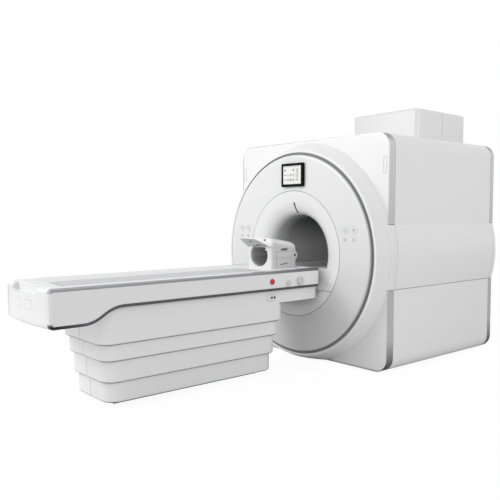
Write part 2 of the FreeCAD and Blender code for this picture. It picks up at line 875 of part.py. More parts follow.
def bore_bridge():
    """The hollow deck through the bore: two ledges and the channel that the patient board runs in."""
    reach = flare_radius
    wall = bridge_wall
    low = flare_seam_height + seam_gap / 2
    start, end = bridge_front_y, bridge_rear_y
    deck = bore_void(seat_gap).common(block(-reach, reach, start, end, low, bridge_top))
    channel = block(-channel_half_width, channel_half_width, start - 1, end + 1,
                    track_top, bridge_top + 1)
    duct = bore_void(seat_gap + wall).common(block(-reach, reach, start + wall, end + 1,
                                                   low + wall, track_top - wall))
    return deck.cut(channel).cut(duct)


def turret_covers():
    """The box over the cold head, in a front and a rear half."""
    corners = oblong(turret_x[0], turret_x[1], turret_y[0], turret_y[1], turret_corner)
    box = plate("z", housing_height, turret_top, corners)
    box = eased(box, "z", turret_top, turret_edge)
    wall = cover_wall
    inner = plate("z", housing_height - 1, turret_top - wall,
                  oblong(turret_x[0] + wall, turret_x[1] - wall, turret_y[0] + wall, turret_y[1] - wall,
                         turret_corner - wall))
    inner = eased(inner, "z", turret_top - wall, turret_edge - wall)
    shell = box.cut(inner)
    middle = sum(turret_y) / 2
    x0, x1 = turret_x[0] - 1, turret_x[1] + 1
    front = shell.common(block(x0, x1, turret_y[0] - 1, middle - seam_gap / 2, housing_height, turret_top))
    rear = shell.common(block(x0, x1, middle + seam_gap / 2, turret_y[1] + 1, housing_height, turret_top))
    return Part.makeCompound([front, rear])


# ---- display and keys on the fascia --------------------------------------------------------------
def display():
    front = fascia_y - display_depth
    body = plate("y", front, fascia_y, around(display_centre, display_size, display_corner))
    window = (display_size[0] - 2 * display_border, display_size[1] - 2 * display_border)
    pocket = plate("y", front - 1, front + screen_depth + 1, around(display_centre, window))
    glass_size = (window[0] - 2 * seat_gap, window[1] - 2 * seat_gap)
    glass = plate("y", front + 1, front + 1 + screen_depth - seat_gap, around(display_centre, glass_size))
    return body.cut(pocket), glass


def key(x):
    face = fascia_y - key_proud
    cap = rod("y", key_radius, face, face + key_depth, x, key_row)
    return eased(cap, "y", face, key_edge_radius)


def key_lamp_set():
    lamps = []
    for x in key_places().values():
        lens = rod("y", lamp_radius, fascia_y - lamp_proud, fascia_y, x, lamp_row)
        lamps.append(eased(lens, "y", fascia_y - lamp_proud, lamp_edge_radius))
    return Part.makeCompound(lamps)


# ---- patient table -------------------------------------------------------------------------------
def side_outline(inset, head_y):
    """The table's outline from the side, drawn in by an inset."""
    slope = math.atan2(panel_high - panel_low, sweep_end_y - sweep_start_y)
    shift = inset * math.tan(slope / 2)
    corner = max(trim_corner - inset, 0)
    foot, low, high = table_foot_y + inset, panel_low + inset, panel_high + inset
    top = table_top - inset
    return [(foot, low, corner), (sweep_start_y - shift, low, sweep_radius - inset),
            (sweep_end_y - shift, high, sweep_radius + inset), (head_y, high, 0), (head_y, top, 0),
            (foot, top, corner)]


def side_trims():
    """The metal frame round the foot, the top and the lower edge of each side of the table."""
    inner_x = table_half_width - trim_thickness
    frame = plate("x", inner_x, table_half_width, side_outline(0, table_head_y))
    rim = [edge for edge in edges_at(frame, "x", table_half_width) if edge.BoundBox.YMin < table_head_y - 1]
    frame = frame.makeFillet(trim_round, rim)
    opening = plate("x", inner_x - 1, table_half_width + 1, side_outline(trim_border, table_head_y + 1))
    return both_sides(frame.cut(opening))


def side_panels():
    """The panels inside the trims; the right one carries the controls."""
    flat = plate("x", panel_outer_x - panel_thickness, panel_outer_x,
                 side_outline(trim_border + seat_gap, table_head_y))
    y, z = stop_centre
    x = panel_outer_x
    right = flat.fuse(rod("x", stop_collar_radius, x, x + stop_collar_height, y, z))
    right = right.cut(rod("x", stop_radius + seat_gap * 2, x, x + stop_collar_height + 1, y, z))
    for y, z in [stop_centre] + list(knob_centres):
        right = right.cut(rod("x", knob_shaft_radius + shaft_clearance, 0, table_half_width, y, z))
    return Part.makeCompound([right, mirrored(flat)])


def table_deck():
    """The two top rails and the channel floor with its tracks, as one folded deck."""
    half = cap_half_width
    wall = deck_wall
    floor_top = track_top - track_height
    y0, y1 = deck_foot_y, table_head_y
    slot_low = floor_top - wall - 1
    parts = [block(-channel_half_width, channel_half_width, y0, y1, floor_top - wall, floor_top)]
    rail = [block(half - wall, half, y0, y1, beam_top, table_top),
            block(channel_half_width, half, y0, y1, table_top - wall, table_top),
            block(channel_half_width, channel_half_width + wall, y0, y1, beam_top, table_top),
            block(channel_half_width, half, y1 - wall, y1, beam_top, table_top),
            block(track_centre - track_half_width, track_centre + track_half_width, y0, y1,
                  floor_top, track_top)]
    for piece in rail:
        parts += [piece, mirrored(piece)]
    parts.append(block(-channel_half_width, channel_half_width, y1 - wall, y1, beam_top, floor_top))
    slot = block(-slot_half_width, slot_half_width, slot_ends[0], slot_ends[1], slot_low, track_top)
    return joined(parts).cut(slot)


def table_chassis():
    """Two box beams, the crossbars between them, and the cheeks that carry the two pulleys."""
    x0, x1 = beam_inner, beam_outer
    wall = beam_wall
    beam = block(x0, x1, chassis_foot_y, chassis_head_y, chassis_low, beam_top)
    beam = beam.cut(block(x0 + wall, x1 - wall, chassis_foot_y - 1, chassis_head_y + 1,
                          chassis_low + wall, beam_top - wall))
    parts = [beam, mirrored(beam)]
    bar_half, bar_top = crossbar_size[0] / 2, chassis_low + crossbar_size[1]
    for y in crossbar_positions:
        parts.append(block(-x0, x0, y - bar_half, y + bar_half, chassis_low, bar_top))
    chassis = joined(parts)
    inner = pulley_width / 2 + running_gap
    for y in (drive_pulley_y, idler_pulley_y):
        cheek = block(inner, inner + cheek_thickness, y - cheek_half_length, y + cheek_half_length,
                      bar_top, pulley_height + cheek_thickness * 2)
        chassis = chassis.fuse(both_sides(cheek))
        chassis = chassis.cut(rod("x", pulley_shaft_radius + shaft_clearance, -x0, x0, y, pulley_height))
    return chassis.removeSplitter()


def pulley(y, drive_length):
    """A pulley in one piece with its shaft; the driven one reaches into the motor."""
    inner = pulley_width / 2
    reach = inner + running_gap + cheek_thickness
    wheel = rod("x", pulley_radius, -inner, inner, y, pulley_height)
    shaft = rod("x", pulley_shaft_radius, -reach, reach + drive_length, y, pulley_height)
    return joined([wheel, shaft])


def drive_belt():
    radius = pulley_radius + seat_gap
    half = pulley_width / 2 - 1
    y0, y1 = drive_pulley_y, idler_pulley_y
    reach = radius + belt_thickness

    def loop(size, width):
        corners = [(y0 - size, pulley_height - size, size), (y1 + size, pulley_height - size, size),
                   (y1 + size, pulley_height + size, size), (y0 - size, pulley_height + size, size)]
        return plate("x", -width, width, corners)

    return loop(reach, half).cut(loop(radius, half + 1))


def drive_motor():
    start = pulley_width / 2 + running_gap + cheek_thickness
    end = start + motor_length
    body = rod("x", motor_radius, start, end, drive_pulley_y, pulley_height)
    body = eased(body, "x", end, running_gap)
    bore = rod("x", pulley_shaft_radius + shaft_clearance, start - 1, start + motor_length / 2,
               drive_pulley_y, pulley_height)
    return body.cut(bore)


def table_pan():
    """The sheet that closes the overhanging foot of the table from below."""
    start = panel_inset
    outer = plate("x", -cap_half_width, cap_half_width, side_outline(start, sweep_end_y))
    inner = plate("x", -cap_half_width - 1, cap_half_width + 1,
                  side_outline(start + pan_thickness, sweep_end_y + 1))
    sheet = outer.cut(inner)
    sheet = sheet.common(block(-table_half_width, table_half_width, pan_foot_y,
                               shroud_foot_y + shroud_corner, panel_low, panel_high))
    cut_out = plate("z", panel_low - 1, panel_high + 1, shroud_plan(0, -seat_gap))
    notch = block(beam_inner - running_gap, beam_outer + running_gap, pan_foot_y, 0,
                  chassis_low - running_gap, panel_high)
    return sheet.cut(cut_out).cut(both_sides(notch))


def cap_plan(inset, z0, z1, rear_y_):
    half = cap_half_width - inset
    corner_y = table_foot_y + inset
    arc = Part.Arc(Vector(-half, corner_y, z0), Vector(0, corner_y - cap_bow, z0), Vector(half, corner_y, z0))
    lines = [((half, corner_y), (half, rear_y_)), ((half, rear_y_), (-half, rear_y_)),
             ((-half, rear_y_), (-half, corner_y))]
    edges = [arc.toShape()] + [Part.makeLine(Vector(*p, z0), Vector(*q, z0)) for p, q in lines]
    return Part.Face(Part.Wire(edges)).extrude(Vector(0, 0, z1 - z0))


def rounded_cap(inset, rear_y_, radius):
    body = cap_plan(inset, panel_low + inset, table_top - inset, rear_y_)
    bow = [edge for edge in body.Edges if edge.Curve.TypeId == "Part::GeomCircle"]
    return body.makeFillet(radius, bow)


def end_cap():
    """The bowed end of the table with its hand recess and two flush port covers."""
    outer = rounded_cap(0, deck_foot_y, cap_edge)
    inner = rounded_cap(cap_wall, deck_foot_y + 1, cap_edge - cap_wall)
    shell = outer.cut(inner)
    front = table_foot_y - cap_bow
    half = recess_half_width
    wall = cap_wall
    tub = block(-half - wall, half + wall, front, recess_back_y + wall, recess_low - wall, table_top)
    shell = shell.fuse(tub.common(outer))
    corners = oblong(-half, half, recess_low, table_top + cap_edge * 2, cap_edge)
    shell = shell.cut(plate("y", front - 1, recess_back_y, corners))
    for x in (-hatch_offset, hatch_offset):
        shell = shell.cut(hatch_form(x, hatch_gap * 2).cut(rounded_cap(hatch_depth, deck_foot_y, cap_edge)))
    seam = block(-seam_gap / 2, seam_gap / 2, front - 1, deck_foot_y, panel_low, hatch_height - hatch_size[1])
    return shell.cut(seam.cut(rounded_cap(hatch_depth / 2, deck_foot_y, cap_edge)))


def hatch_form(x, growth):
    size = (hatch_size[0] + growth, hatch_size[1] + growth)
    corners = around((x, hatch_height), size, hatch_corner)
    return plate("y", table_foot_y - cap_bow - 1, table_foot_y + 1, corners)


def port_covers():
    inner = rounded_cap(hatch_depth - seat_gap, deck_foot_y, cap_edge)
    skin = rounded_cap(0, deck_foot_y, cap_edge).cut(inner)
    covers = [skin.common(hatch_form(x, 0)) for x in (-hatch_offset, hatch_offset)]
    return Part.makeCompound([cover.Solids[0] for cover in covers])


# ---- patient board and mattress ------------------------------------------------------------------
def patient_board():
    """A stiff tray with a flat floor and raised edges; a tongue below clamps it to the belt."""
    half = channel_half_width - running_gap
    edge = board_edge_radius
    body = plate("y", board_foot_y, board_head_y,
                 [(-half, board_bottom, edge), (half, board_bottom, edge),
                  (half, board_rim_height, board_rim_radius), (-half, board_rim_height, board_rim_radius)])
    inner = half - board_rim_width
    flat = board_floor_half_width
    above = board_rim_height + overshoot
    lean = (inner - flat) / (board_rim_height - board_floor) * overshoot
    dish = plate("y", board_foot_y + board_end_lip, board_head_y - board_end_lip,
                 [(-flat, board_floor, board_dish_radius), (flat, board_floor, board_dish_radius),
                  (inner + lean, above, 0), (-inner - lean, above, 0)])
    low = pulley_height + pulley_radius + seat_gap * 2 + belt_thickness
    tongue = block(-carriage_half_width, carriage_half_width, carriage_y - carriage_half_length,
                   carriage_y + carriage_half_length, low, board_bottom)
    return body.cut(dish).fuse(tongue).removeSplitter()


def mattress():
    """A thin pad with drawn-in sides, a slight crown and shallow channels across it."""
    half = mattress_half_width
    sink = mattress_sink
    low = board_floor - sink
    high = board_floor + mattress_thickness
    round_in = mattress_side_radius
    edges = [
        Part.makeLine(Vector(-half + round_in, 0, low), Vector(half - round_in, 0, low)),
        Part.Arc(Vector(half - round_in, 0, low), Vector(half, 0, (low + high) / 2),
                 Vector(half - round_in, 0, high)).toShape(),
        Part.Arc(Vector(half - round_in, 0, high), Vector(0, 0, high + mattress_crown),
                 Vector(round_in - half, 0, high)).toShape(),
        Part.Arc(Vector(round_in - half, 0, high), Vector(-half, 0, (low + high) / 2),
                 Vector(round_in - half, 0, low)).toShape(),
    ]
    face = Part.Face(Part.Wire(edges))
    face.translate(Vector(0, mattress_foot_y, 0))
    pad = face.extrude(Vector(0, mattress_head_y - mattress_foot_y, 0))
    plan = plate("z", low + sink, high + mattress_crown * 2,
                 oblong(-half, half, mattress_foot_y, mattress_head_y, mattress_end_radius))
    pad = pad.common(plan)
    channel_height = high + mattress_crown + mattress_channel_radius - mattress_channel_depth
    for y in mattress_channels:
        pad = pad.cut(rod("x", mattress_channel_radius, -half, half, y, channel_height))
    return pad


# ---- lifting base --------------------------------------------------------------------------------
def shroud_plan(level, inset):
    """A shroud section's outline from above; each lower one is a step smaller."""
    half = shroud_half_width - level * shroud_step_x - inset
    foot = shroud_foot_y + level * shroud_step_y + inset
    head = shroud_head_y - level * shroud_step_y - inset
    return oblong(-half, half, foot, head, shroud_corner - inset)


def rolled_tub(level, inset, low, high, roll):
    tub = plate("z", low, high, shroud_plan(level, inset))
    return eased(tub, "z", low, roll)


def shroud_shell(level):
    """One section: walls open above, rolled in below, parted down the middle of each end."""
    low, high = shroud_bottoms[level], shroud_tops[level]
    outer = rolled_tub(level, 0, low, high, shroud_roll)
    inner = rolled_tub(level, shroud_wall, low + shroud_wall, high + 1, shroud_roll - shroud_wall)
    if level == 0:
        outer = outer.fuse(nose(0))
        inner = inner.fuse(nose(shroud_wall))
    opening = plate("z", low - 1, high, shroud_plan(level, shroud_roll))
    return outer.cut(inner).cut(opening)


def nose(inset):
    """The top section's arm towards the magnet, under the head of the table."""
    half = shroud_half_width - inset
    low, head, corner = nose_low + inset, nose_head_y - inset, nose_corner - inset
    back = shroud_head_y - shroud_corner
    top = shroud_tops[0] + (1 if inset else 0)
    outline = [(-half, back, 0), (half, back, 0), (half, head, corner), (-half, head, corner)]
    arm = plate("z", low, top, outline)
    rim = [edge for edge in edges_at(arm, "z", low) if edge.BoundBox.YMax > shroud_head_y]
    return arm.makeFillet(shroud_roll - inset, rim)


def beam_passage():
    """The opening in the top section's foot wall that the chassis beams run through."""
    reach = beam_outer + running_gap
    return block(-reach, reach, shroud_foot_y - 1, shroud_foot_y + shroud_corner,
                 chassis_low - running_gap, table_top)


def parted(shape, half_gap):
    return shape.cut(block(-half_gap, half_gap, shroud_foot_y * 2, 0, 0, table_top))


def glide_pads(level):
    """Pads near the top of a section that run inside the section above it."""
    top = shroud_tops[level]
    half = shroud_half_width - level * shroud_step_x
    reach = half + shroud_step_x - shroud_wall - seat_gap
    middle = (shroud_foot_y + shroud_head_y) / 2
    quarter = (shroud_head_y - shroud_foot_y) / 4
    pads = []
    for y in (middle - quarter, middle + quarter):
        pad = block(half - shroud_wall, reach, y - pad_width / 2, y + pad_width / 2, top - pad_height, top)
        pads += [pad, mirrored(pad)]
    return pads


def shroud(level):
    shell = shroud_shell(level)
    if level > 0:
        shell = shell.fuse(glide_pads(level))
    else:
        shell = shell.cut(beam_passage()).fuse(hanger_pads())
    return parted(shell, shroud_split / 2)


def hanger_pads():
    """Blocks inside the top section that hang it from the chassis beams."""
    outer = shroud_half_width - shroud_wall
    pads = []
    for y in ear_positions:
        pad = block(beam_outer, outer, y - ear_width / 2, y + ear_width / 2, chassis_low, shroud_tops[0])
        pads += [pad, mirrored(pad)]
    return pads


def table_base():
    """The floor plate with ears that hold the lowest shroud section."""
    half = base_half_width
    plate_ = block(-half, half, base_foot_y, base_head_y, 0, base_thickness)
    reach = shroud_half_width - 3 * shroud_step_x - shroud_wall
    low, high = ear_heights
    parts = [plate_]
    for y in ear_positions:
        y0, y1 = y - ear_width / 2, y + ear_width / 2
        ear = block(half - ear_width / 2, half, y0, y1, 0, high).fuse(block(half, reach, y0, y1, low, high))
        parts += [ear, mirrored(ear)]
    base = joined(parts)
    across, along = table_anchor_spacing
    middle = (base_foot_y + base_head_y) / 2
    for x in (-across / 2, across / 2):
        for y in (middle - along / 2, middle + along / 2):
            base = base.cut(rod("z", table_anchor_radius, -1, base_thickness + 1, x, y))
    return base


def box_tube(y, size, wall, low, high):
    inner_size = (size[0] - 2 * wall, size[1] - 2 * wall)
    tube = plate("z", low, high, around((0, y), size, wall))
    return tube.cut(plate("z", low - 1, high + 1, around((0, y), inner_size, 0)))


def columns(stage):
    """One stage of both telescopic columns: 0 is the outer, 2 the inner one."""
    shrink = 2 * stage * (column_wall + column_gap)
    size = (column_size[0] - shrink, column_size[1] - shrink)
    low = (base_thickness, *column_bottoms)[stage]
    high = (*column_tops, chassis_low)[stage]
    tubes = []
    for y in column_positions:
        tube = box_tube(y, size, column_wall, low, high)
        if stage == 2:
            across, along, thick = column_flange
            tube = tube.fuse(plate("z", high - thick, high, around((0, y), (across, along), 0)))
        tubes.append(tube.removeSplitter())
    return Part.makeCompound(tubes)


def lift_motor():
    """The gear motor on the floor plate and the shafts that run from it to both columns."""
    middle = sum(column_positions) / 2
    across, along, tall = lift_motor_size
    corners = around((0, middle), (across, along), lift_motor_corner)
    body = plate("z", base_thickness, base_thickness + tall, corners)
    reach = column_size[1] / 2
    shaft = rod("y", lift_shaft_radius, column_positions[0] + reach, column_positions[1] - reach, 0,
                base_thickness + tall / 2)
    return body.fuse(shaft).removeSplitter()


# ---- controls on the table side ------------------------------------------------------------------
def emergency_stop():
    y, z = stop_centre
    x = panel_outer_x
    base_x = x + stop_travel + seat_gap
    head = rod("x", stop_radius, base_x, x + stop_proud, y, z)
    head = eased(head, "x", x + stop_proud, stop_edge_radius)
    stem = rod("x", knob_shaft_radius, x - panel_thickness, base_x, y, z)
    return joined([head, stem])


def knob(index):
    y, z = knob_centres[index]
    radius, proud = knob_radii[index], knob_proud[index]
    x = panel_outer_x
    head = rod("x", radius, x + seat_gap, x + proud, y, z)
    head = eased(head, "x", x + proud, knob_edge_radius)
    stem = rod("x", knob_shaft_radius, x - panel_thickness, x + seat_gap, y, z)
    width, height = knob_rib
    rib = block(x + proud - height, x + proud + height, y - width / 2, y + width / 2,
                z - radius + width, z + radius - width)
    return joined([head, stem, rib])


def socket_plate():
    x = shroud_half_width
    z = socket_plate_centre[1]
    corners = around(socket_plate_centre, socket_plate_size, socket_plate_corner)
    body = plate("x", x, x + socket_plate_proud, corners)
    for y in socket_positions:
        body = body.cut(rod("x", socket_radius, x + seat_gap, x + socket_plate_proud + 1, y, z))
    return body


# ---- head coil -----------------------------------------------------------------------------------
def coil_section(y, top):
    half = coil_half_width
    return outline("y", y, [(-half, coil_low, 0), (half, coil_low, 0), (half, top, coil_corner),
                            (-half, top, coil_corner)])


def coil_form():
    """The coil's outer form: the roof falls towards the head end, where a large round ends it."""
    ends = ((coil_foot_y, coil_foot_top, coil_foot_round), (coil_head_y, coil_head_top, coil_plan_round))
    body = Part.makeLoft([coil_section(y, top) for y, top, radius in ends], True, True)
    for y, top, radius in ends:
        rim = [edge for edge in edges_at(body, "y", y) if edge.BoundBox.ZMax > coil_low + 1]
        body = body.makeFillet(radius, rim)
    fall = (coil_foot_top - coil_head_top) / coil_length
    y = coil_head_y - coil_head_round
    z = coil_head_top + fall * coil_head_round - coil_head_round
    reach = coil_half_width + overshoot
    waste = block(-reach, reach, y, coil_head_y + overshoot, z, coil_foot_top)
    return body.cut(waste.cut(rod("x", coil_head_round + coil_head_crest, -reach, reach, y, z)))


def coil_tunnel(y0, y1):
    """The oval space for the patient's head."""
    centre = Vector(0, y0, coil_bore_height)
    curve = Part.Ellipse(centre + Vector(coil_bore_half_width, 0, 0),
                         centre + Vector(0, 0, coil_bore_half_height), centre)
    return Part.Face(Part.Wire([curve.toShape()])).extrude(Vector(0, y1 - y0, 0))


def coil_ring_groove():
    """The shallow groove round the sides and the roof, near the foot end."""
    y0 = coil_foot_y + coil_groove_setback
    y1 = y0 + coil_groove_width
    top = coil_foot_top + (coil_head_top - coil_foot_top) * coil_groove_setback / coil_length
    half, depth = coil_half_width, coil_groove_depth
    corner = coil_corner - depth
    core = plate("y", y0, y1, [(depth - half, coil_low, 0), (half - depth, coil_low, 0),
                               (half - depth, top - depth, corner), (depth - half, top - depth, corner)])
    return block(-half, half, y0, y1, coil_low, coil_foot_top).cut(core)


def coil_recess(y, z, size, rise, lean):
    """A shallow window in the coil's side: its far end rises and its ends lean."""
    length, height = size
    corners = [(y, z, window_corner), (y + length - lean, z + rise, window_corner),
               (y + length, z + rise + height, window_corner), (y + lean, z + height, window_corner)]
    return plate("x", coil_half_width - window_depth, coil_half_width + 1, corners)


def coil_windows():
    upper = coil_recess(coil_foot_y + window_setback, coil_split + window_rise, window_size, 0, window_lean)
    lower = coil_recess(coil_foot_y + slot_setback, coil_low + slot_rise, slot_size, slot_slope, 0)
    return both_sides(upper).fuse(both_sides(lower))


def coil_shell(low, high):
    """The coil's form between two levels, with its tunnel, ring groove and windows."""
    body = coil_form().cut(coil_tunnel(coil_foot_y - 1, coil_head_y - coil_wall))
    body = body.cut(coil_ring_groove()).cut(coil_windows())
    reach = coil_half_width
    return body.common(block(-reach, reach, coil_foot_y, coil_head_y, low, high))


def coil_side_line():
    """The thin line round the lower half."""
    z = coil_low + coil_line_rise
    width = coil_line_width
    half = coil_half_width
    foot, head = coil_foot_y + width, coil_head_y - width
    near, far = coil_foot_round - width, coil_plan_round - width
    band = block(-half, half, coil_foot_y, coil_head_y, z, z + width)
    half -= width
    core = [(-half, foot, near), (half, foot, near), (half, head, far), (-half, head, far)]
    return band.cut(plate("z", z, z + width, core))


def hinge_pin():
    """A pin between the lower half's side wall and its inner wall, with a round cap outside."""
    outer = coil_half_width
    inner = hinge_arm_inner - hinge_pin_root
    pin = rod("x", hinge_pin_radius, inner, outer, coil_hinge_y, coil_hinge_height)
    cap = rod("x", hinge_cap_radius, outer, outer + hinge_cap_height, coil_hinge_y, coil_hinge_height)
    return pin.fuse(cap)


def hinge_clearance():
    """What the lower half loses at the hinge: its corner outside the lug, and the arms' pockets."""
    reach = coil_half_width
    y, z = coil_hinge_y, coil_hinge_height
    corner = block(-reach, reach, y, coil_head_y, z, coil_split)
    corner = corner.cut(rod("x", hinge_lug_radius - seat_gap, -reach, reach, y, z))
    pocket = rod("x", hinge_pocket_radius, hinge_arm_inner - seat_gap, hinge_arm_outer + seat_gap, y, z)
    return corner.fuse(both_sides(pocket))


def hinge_lug():
    """A round lug that carries the pin's outer end and stands out behind the head face."""
    radius = hinge_lug_radius - seat_gap
    inner = hinge_arm_outer + seat_gap
    return rod("x", radius, inner, coil_half_width, coil_hinge_y, coil_hinge_height)


def coil_base():
    """The lower half of the head coil with the lugs and pins of its hinge."""
    body = coil_shell(coil_low, coil_split - seat_gap / 2)
    body = body.cut(coil_side_line()).cut(hinge_clearance())
    return joined([body, both_sides(hinge_lug()), both_sides(hinge_pin())])


def hinge_arm():
    """An arm from the lid down to a barrel that turns on the pin."""
    radius = hinge_barrel_radius
    inner, outer = hinge_arm_inner, hinge_arm_outer
    y, z = coil_hinge_y, coil_hinge_height
    arm = block(inner, outer, y - radius, y + radius, z, coil_split + radius)
    return arm.fuse(rod("x", radius, inner, outer, y, z))


def brim():
    """The plate over the mouth of the tunnel, which leans forward and up."""
    lean = math.atan2(brim_rise, brim_reach)
    length = math.hypot(brim_rise, brim_reach)
    root, tip = brim_root_half_width, brim_tip_half_width
    corners = [(-root, brim_embed, 0), (-root, 0, brim_root_corner), (-tip, -length, brim_tip_corner),
               (tip, -length, brim_tip_corner), (root, 0, brim_root_corner), (root, brim_embed, 0)]
    body = plate("z", 0, brim_thickness, corners)
    hole_y = -brim_hole_reach / math.cos(lean)
    body = body.cut(rod("z", brim_hole_radius, -1, brim_thickness + 1, 0, hole_y))
    body.rotate(Vector(0, 0, 0), axis_of["x"], -math.degrees(lean))
    body.translate(Vector(0, coil_foot_y, coil_low + brim_root_rise))
    return body.cut(coil_tunnel(coil_foot_y - brim_reach, coil_foot_y + brim_embed))


def coil_lid():
    """The upper half of the head coil with its brim and its hinge arms."""
    body = joined([coil_shell(coil_split + seat_gap / 2, coil_foot_top), brim(), both_sides(hinge_arm())])
    reach = coil_half_width
    hole = rod("x", hinge_pin_radius + shaft_clearance, -reach, reach, coil_hinge_y, coil_hinge_height)
    latch_hole = rod("x", latch_radius + shaft_clearance, 0, latch_end + latch_travel + seat_gap,
                     latch_y, latch_height)
    return body.cut(hole).cut(latch_hole)


def coil_latch():
    """A peg in the lid's side wall that slides outwards to free the lid."""
    start = latch_end - latch_length
    peg = rod("x", latch_radius, start, latch_end, latch_y, latch_height)
    return eased(peg, "x", start, latch_radius / 3)


# ---- one file for each piece ---------------------------------------------------------------------
os.makedirs("parts", exist_ok=True)

save("magnet_feet", magnet_feet())
save("cryostat_vessel", cryostat_vessel())
save("helium_vessel", helium_vessel())
save("magnet_coils", magnet_coils())
save("gradient_coil", gradient_coil())
save("rf_body_coil", body_coil())
save("cold_head", cold_head())
save("bore_liner", bore_liner())
save("bore_bridge", bore_bridge())
save("cover_frame", cover_frame())
save("front_cover", front_cover())
save("rear_cover", rear_cover())
save("bezel_seal", bezel_seal())
save("front_fascia", front_fascia())
save("rear_funnel", rear_funnel())
save("positioning_light", light_strip())
save("key_lamps", key_lamp_set())
save("front_edge_trims", edge_trims(front_y, front_trim_y - seam_gap / 2, front_y))
save("rear_edge_trims", edge_trims(rear_trim_y + seam_gap / 2, rear_y, rear_y))
save("turret_covers", turret_covers())

upper, lower = funnels()
save("funnel_upper", upper)
save("funnel_lower", lower)

side, skirt, roof = long_covers()
save("side_covers", side)
save("skirt_covers", skirt)
save("roof_cover", roof)

frame, glass = display()
save("display_housing", frame)
save("display_screen", glass)

for name, x in key_places().items():
    save("key_" + name, key(x))

save("table_base", table_base())
for stage, name in enumerate(("outer", "middle", "inner")):
    save("lift_columns_" + name, columns(stage))
save("lift_motor", lift_motor())
for level, name in enumerate(("top", "upper", "lower", "floor")):
    save("shroud_" + name, shroud(level))
save("table_chassis", table_chassis())
save("table_deck", table_deck())
save("side_panels", side_panels())
save("side_trims", side_trims())
save("end_cap", end_cap())
save("port_covers", port_covers())
save("table_pan", table_pan())
save("socket_plate", socket_plate())
save("emergency_stop", emergency_stop())
save("knob_front", knob(0))
save("knob_rear", knob(1))
save("drive_pulley", pulley(drive_pulley_y, motor_length / 2 - running_gap))
save("idler_pulley", pulley(idler_pulley_y, 0))
save("drive_belt", drive_belt())
save("drive_motor", drive_motor())
save("patient_board", patient_board())
save("mattress", mattress())
save("coil_base", coil_base())
save("coil_lid", coil_lid())
save("coil_latch", coil_latch())
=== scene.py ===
import bpy
import bmesh
import json
import math
import random
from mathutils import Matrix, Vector


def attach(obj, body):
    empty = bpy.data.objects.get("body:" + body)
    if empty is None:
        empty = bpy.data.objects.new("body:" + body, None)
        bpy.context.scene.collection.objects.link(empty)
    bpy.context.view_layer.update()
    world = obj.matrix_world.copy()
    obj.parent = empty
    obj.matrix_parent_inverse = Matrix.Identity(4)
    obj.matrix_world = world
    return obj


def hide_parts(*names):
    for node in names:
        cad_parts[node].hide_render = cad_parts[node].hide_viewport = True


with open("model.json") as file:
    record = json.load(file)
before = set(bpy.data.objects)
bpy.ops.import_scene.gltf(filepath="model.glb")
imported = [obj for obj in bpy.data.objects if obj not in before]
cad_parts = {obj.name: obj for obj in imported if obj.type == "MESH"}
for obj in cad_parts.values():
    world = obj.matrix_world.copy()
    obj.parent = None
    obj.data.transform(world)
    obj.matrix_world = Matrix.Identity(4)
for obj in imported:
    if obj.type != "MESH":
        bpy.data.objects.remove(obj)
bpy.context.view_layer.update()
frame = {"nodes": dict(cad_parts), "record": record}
nodes = frame["nodes"]
slot_of = {part["node"]: part["material_slot"] for part in frame["record"]["subparts"]}

# the camera: lens and sensor in millimetres, place in metres, tilt from straight down and turn
# in degrees
focal_length, sensor_width = 44.88, 36.0
camera_place = (4.3031, -5.2565, 1.4138)
camera_tilt, camera_turn = 86.64, 49.71

# places on the part, in metres: the bore's axis and the radii round it, the display, the keys, the
# sockets, the coil's pivots, sides, front inset and brim, and how far thin marks stand out
bore_height = 1.03
fascia_edge, flare_rim, groove_wall = 0.943, 0.600, 0.962
screen_x, screen_face, screen_z = 0.012, -1.0961, 1.779
key_face, key_z = -1.0760, 1.268
mark_rise, line_slack = 0.0003, 0.0004
socket_x, socket_z, socket_ys = 0.3505, 0.688, (-1.661, -1.630)
pivot_place, pivot_side = (-1.207, 1.029), 0.1684
coil_side, groove_floor = 0.168, 0.1664
inset_x, inset_face, inset_z = 0.076, -1.4978, 1.172
brim_y, brim_z, brim_along, brim_across = -1.600, 1.1613, 0.8824, 0.4706
dome_rise, pointer_rise = 0.0026, 0.0006

# ---- camera --------------------------------------------------------------------------------------
camera_data = bpy.data.cameras.new("camera")
camera_data.lens = focal_length
camera_data.sensor_width = sensor_width
camera_data.clip_end = 200.0
camera = bpy.data.objects.new("camera", camera_data)
camera.location = camera_place
camera.rotation_euler = (math.radians(camera_tilt), 0, math.radians(camera_turn))
bpy.context.scene.collection.objects.link(camera)
bpy.context.scene.camera = camera


# ---- materials -----------------------------------------------------------------------------------
def noise(tree, coord, scale, detail=3.0, stretch=None):
    texture = tree.nodes.new("ShaderNodeTexNoise")
    texture.inputs["Scale"].default_value = scale
    texture.inputs["Detail"].default_value = detail
    source = coord
    if stretch:
        mapping = tree.nodes.new("ShaderNodeMapping")
        mapping.inputs["Scale"].default_value = stretch
        tree.links.new(coord, mapping.inputs["Vector"])
        source = mapping.outputs["Vector"]
    tree.links.new(source, texture.inputs["Vector"])
    return texture.outputs["Fac"]


def ranged(tree, value, low, high, from_low=0.3, from_high=0.7):
    node = tree.nodes.new("ShaderNodeMapRange")
    node.inputs["From Min"].default_value = from_low
    node.inputs["From Max"].default_value = from_high
    node.inputs["To Min"].default_value = low
    node.inputs["To Max"].default_value = high
    tree.links.new(value, node.inputs["Value"])
    return node.outputs["Result"]


def mixed(tree, factor, first, second):
    node = tree.nodes.new("ShaderNodeMix")
    node.data_type = "RGBA"
    tree.links.new(factor, node.inputs[0])
    for socket, value in ((6, first), (7, second)):
        if isinstance(value, tuple):
            node.inputs[socket].default_value = (*value, 1.0)
        else:
            tree.links.new(value, node.inputs[socket])
    return node.outputs[2]


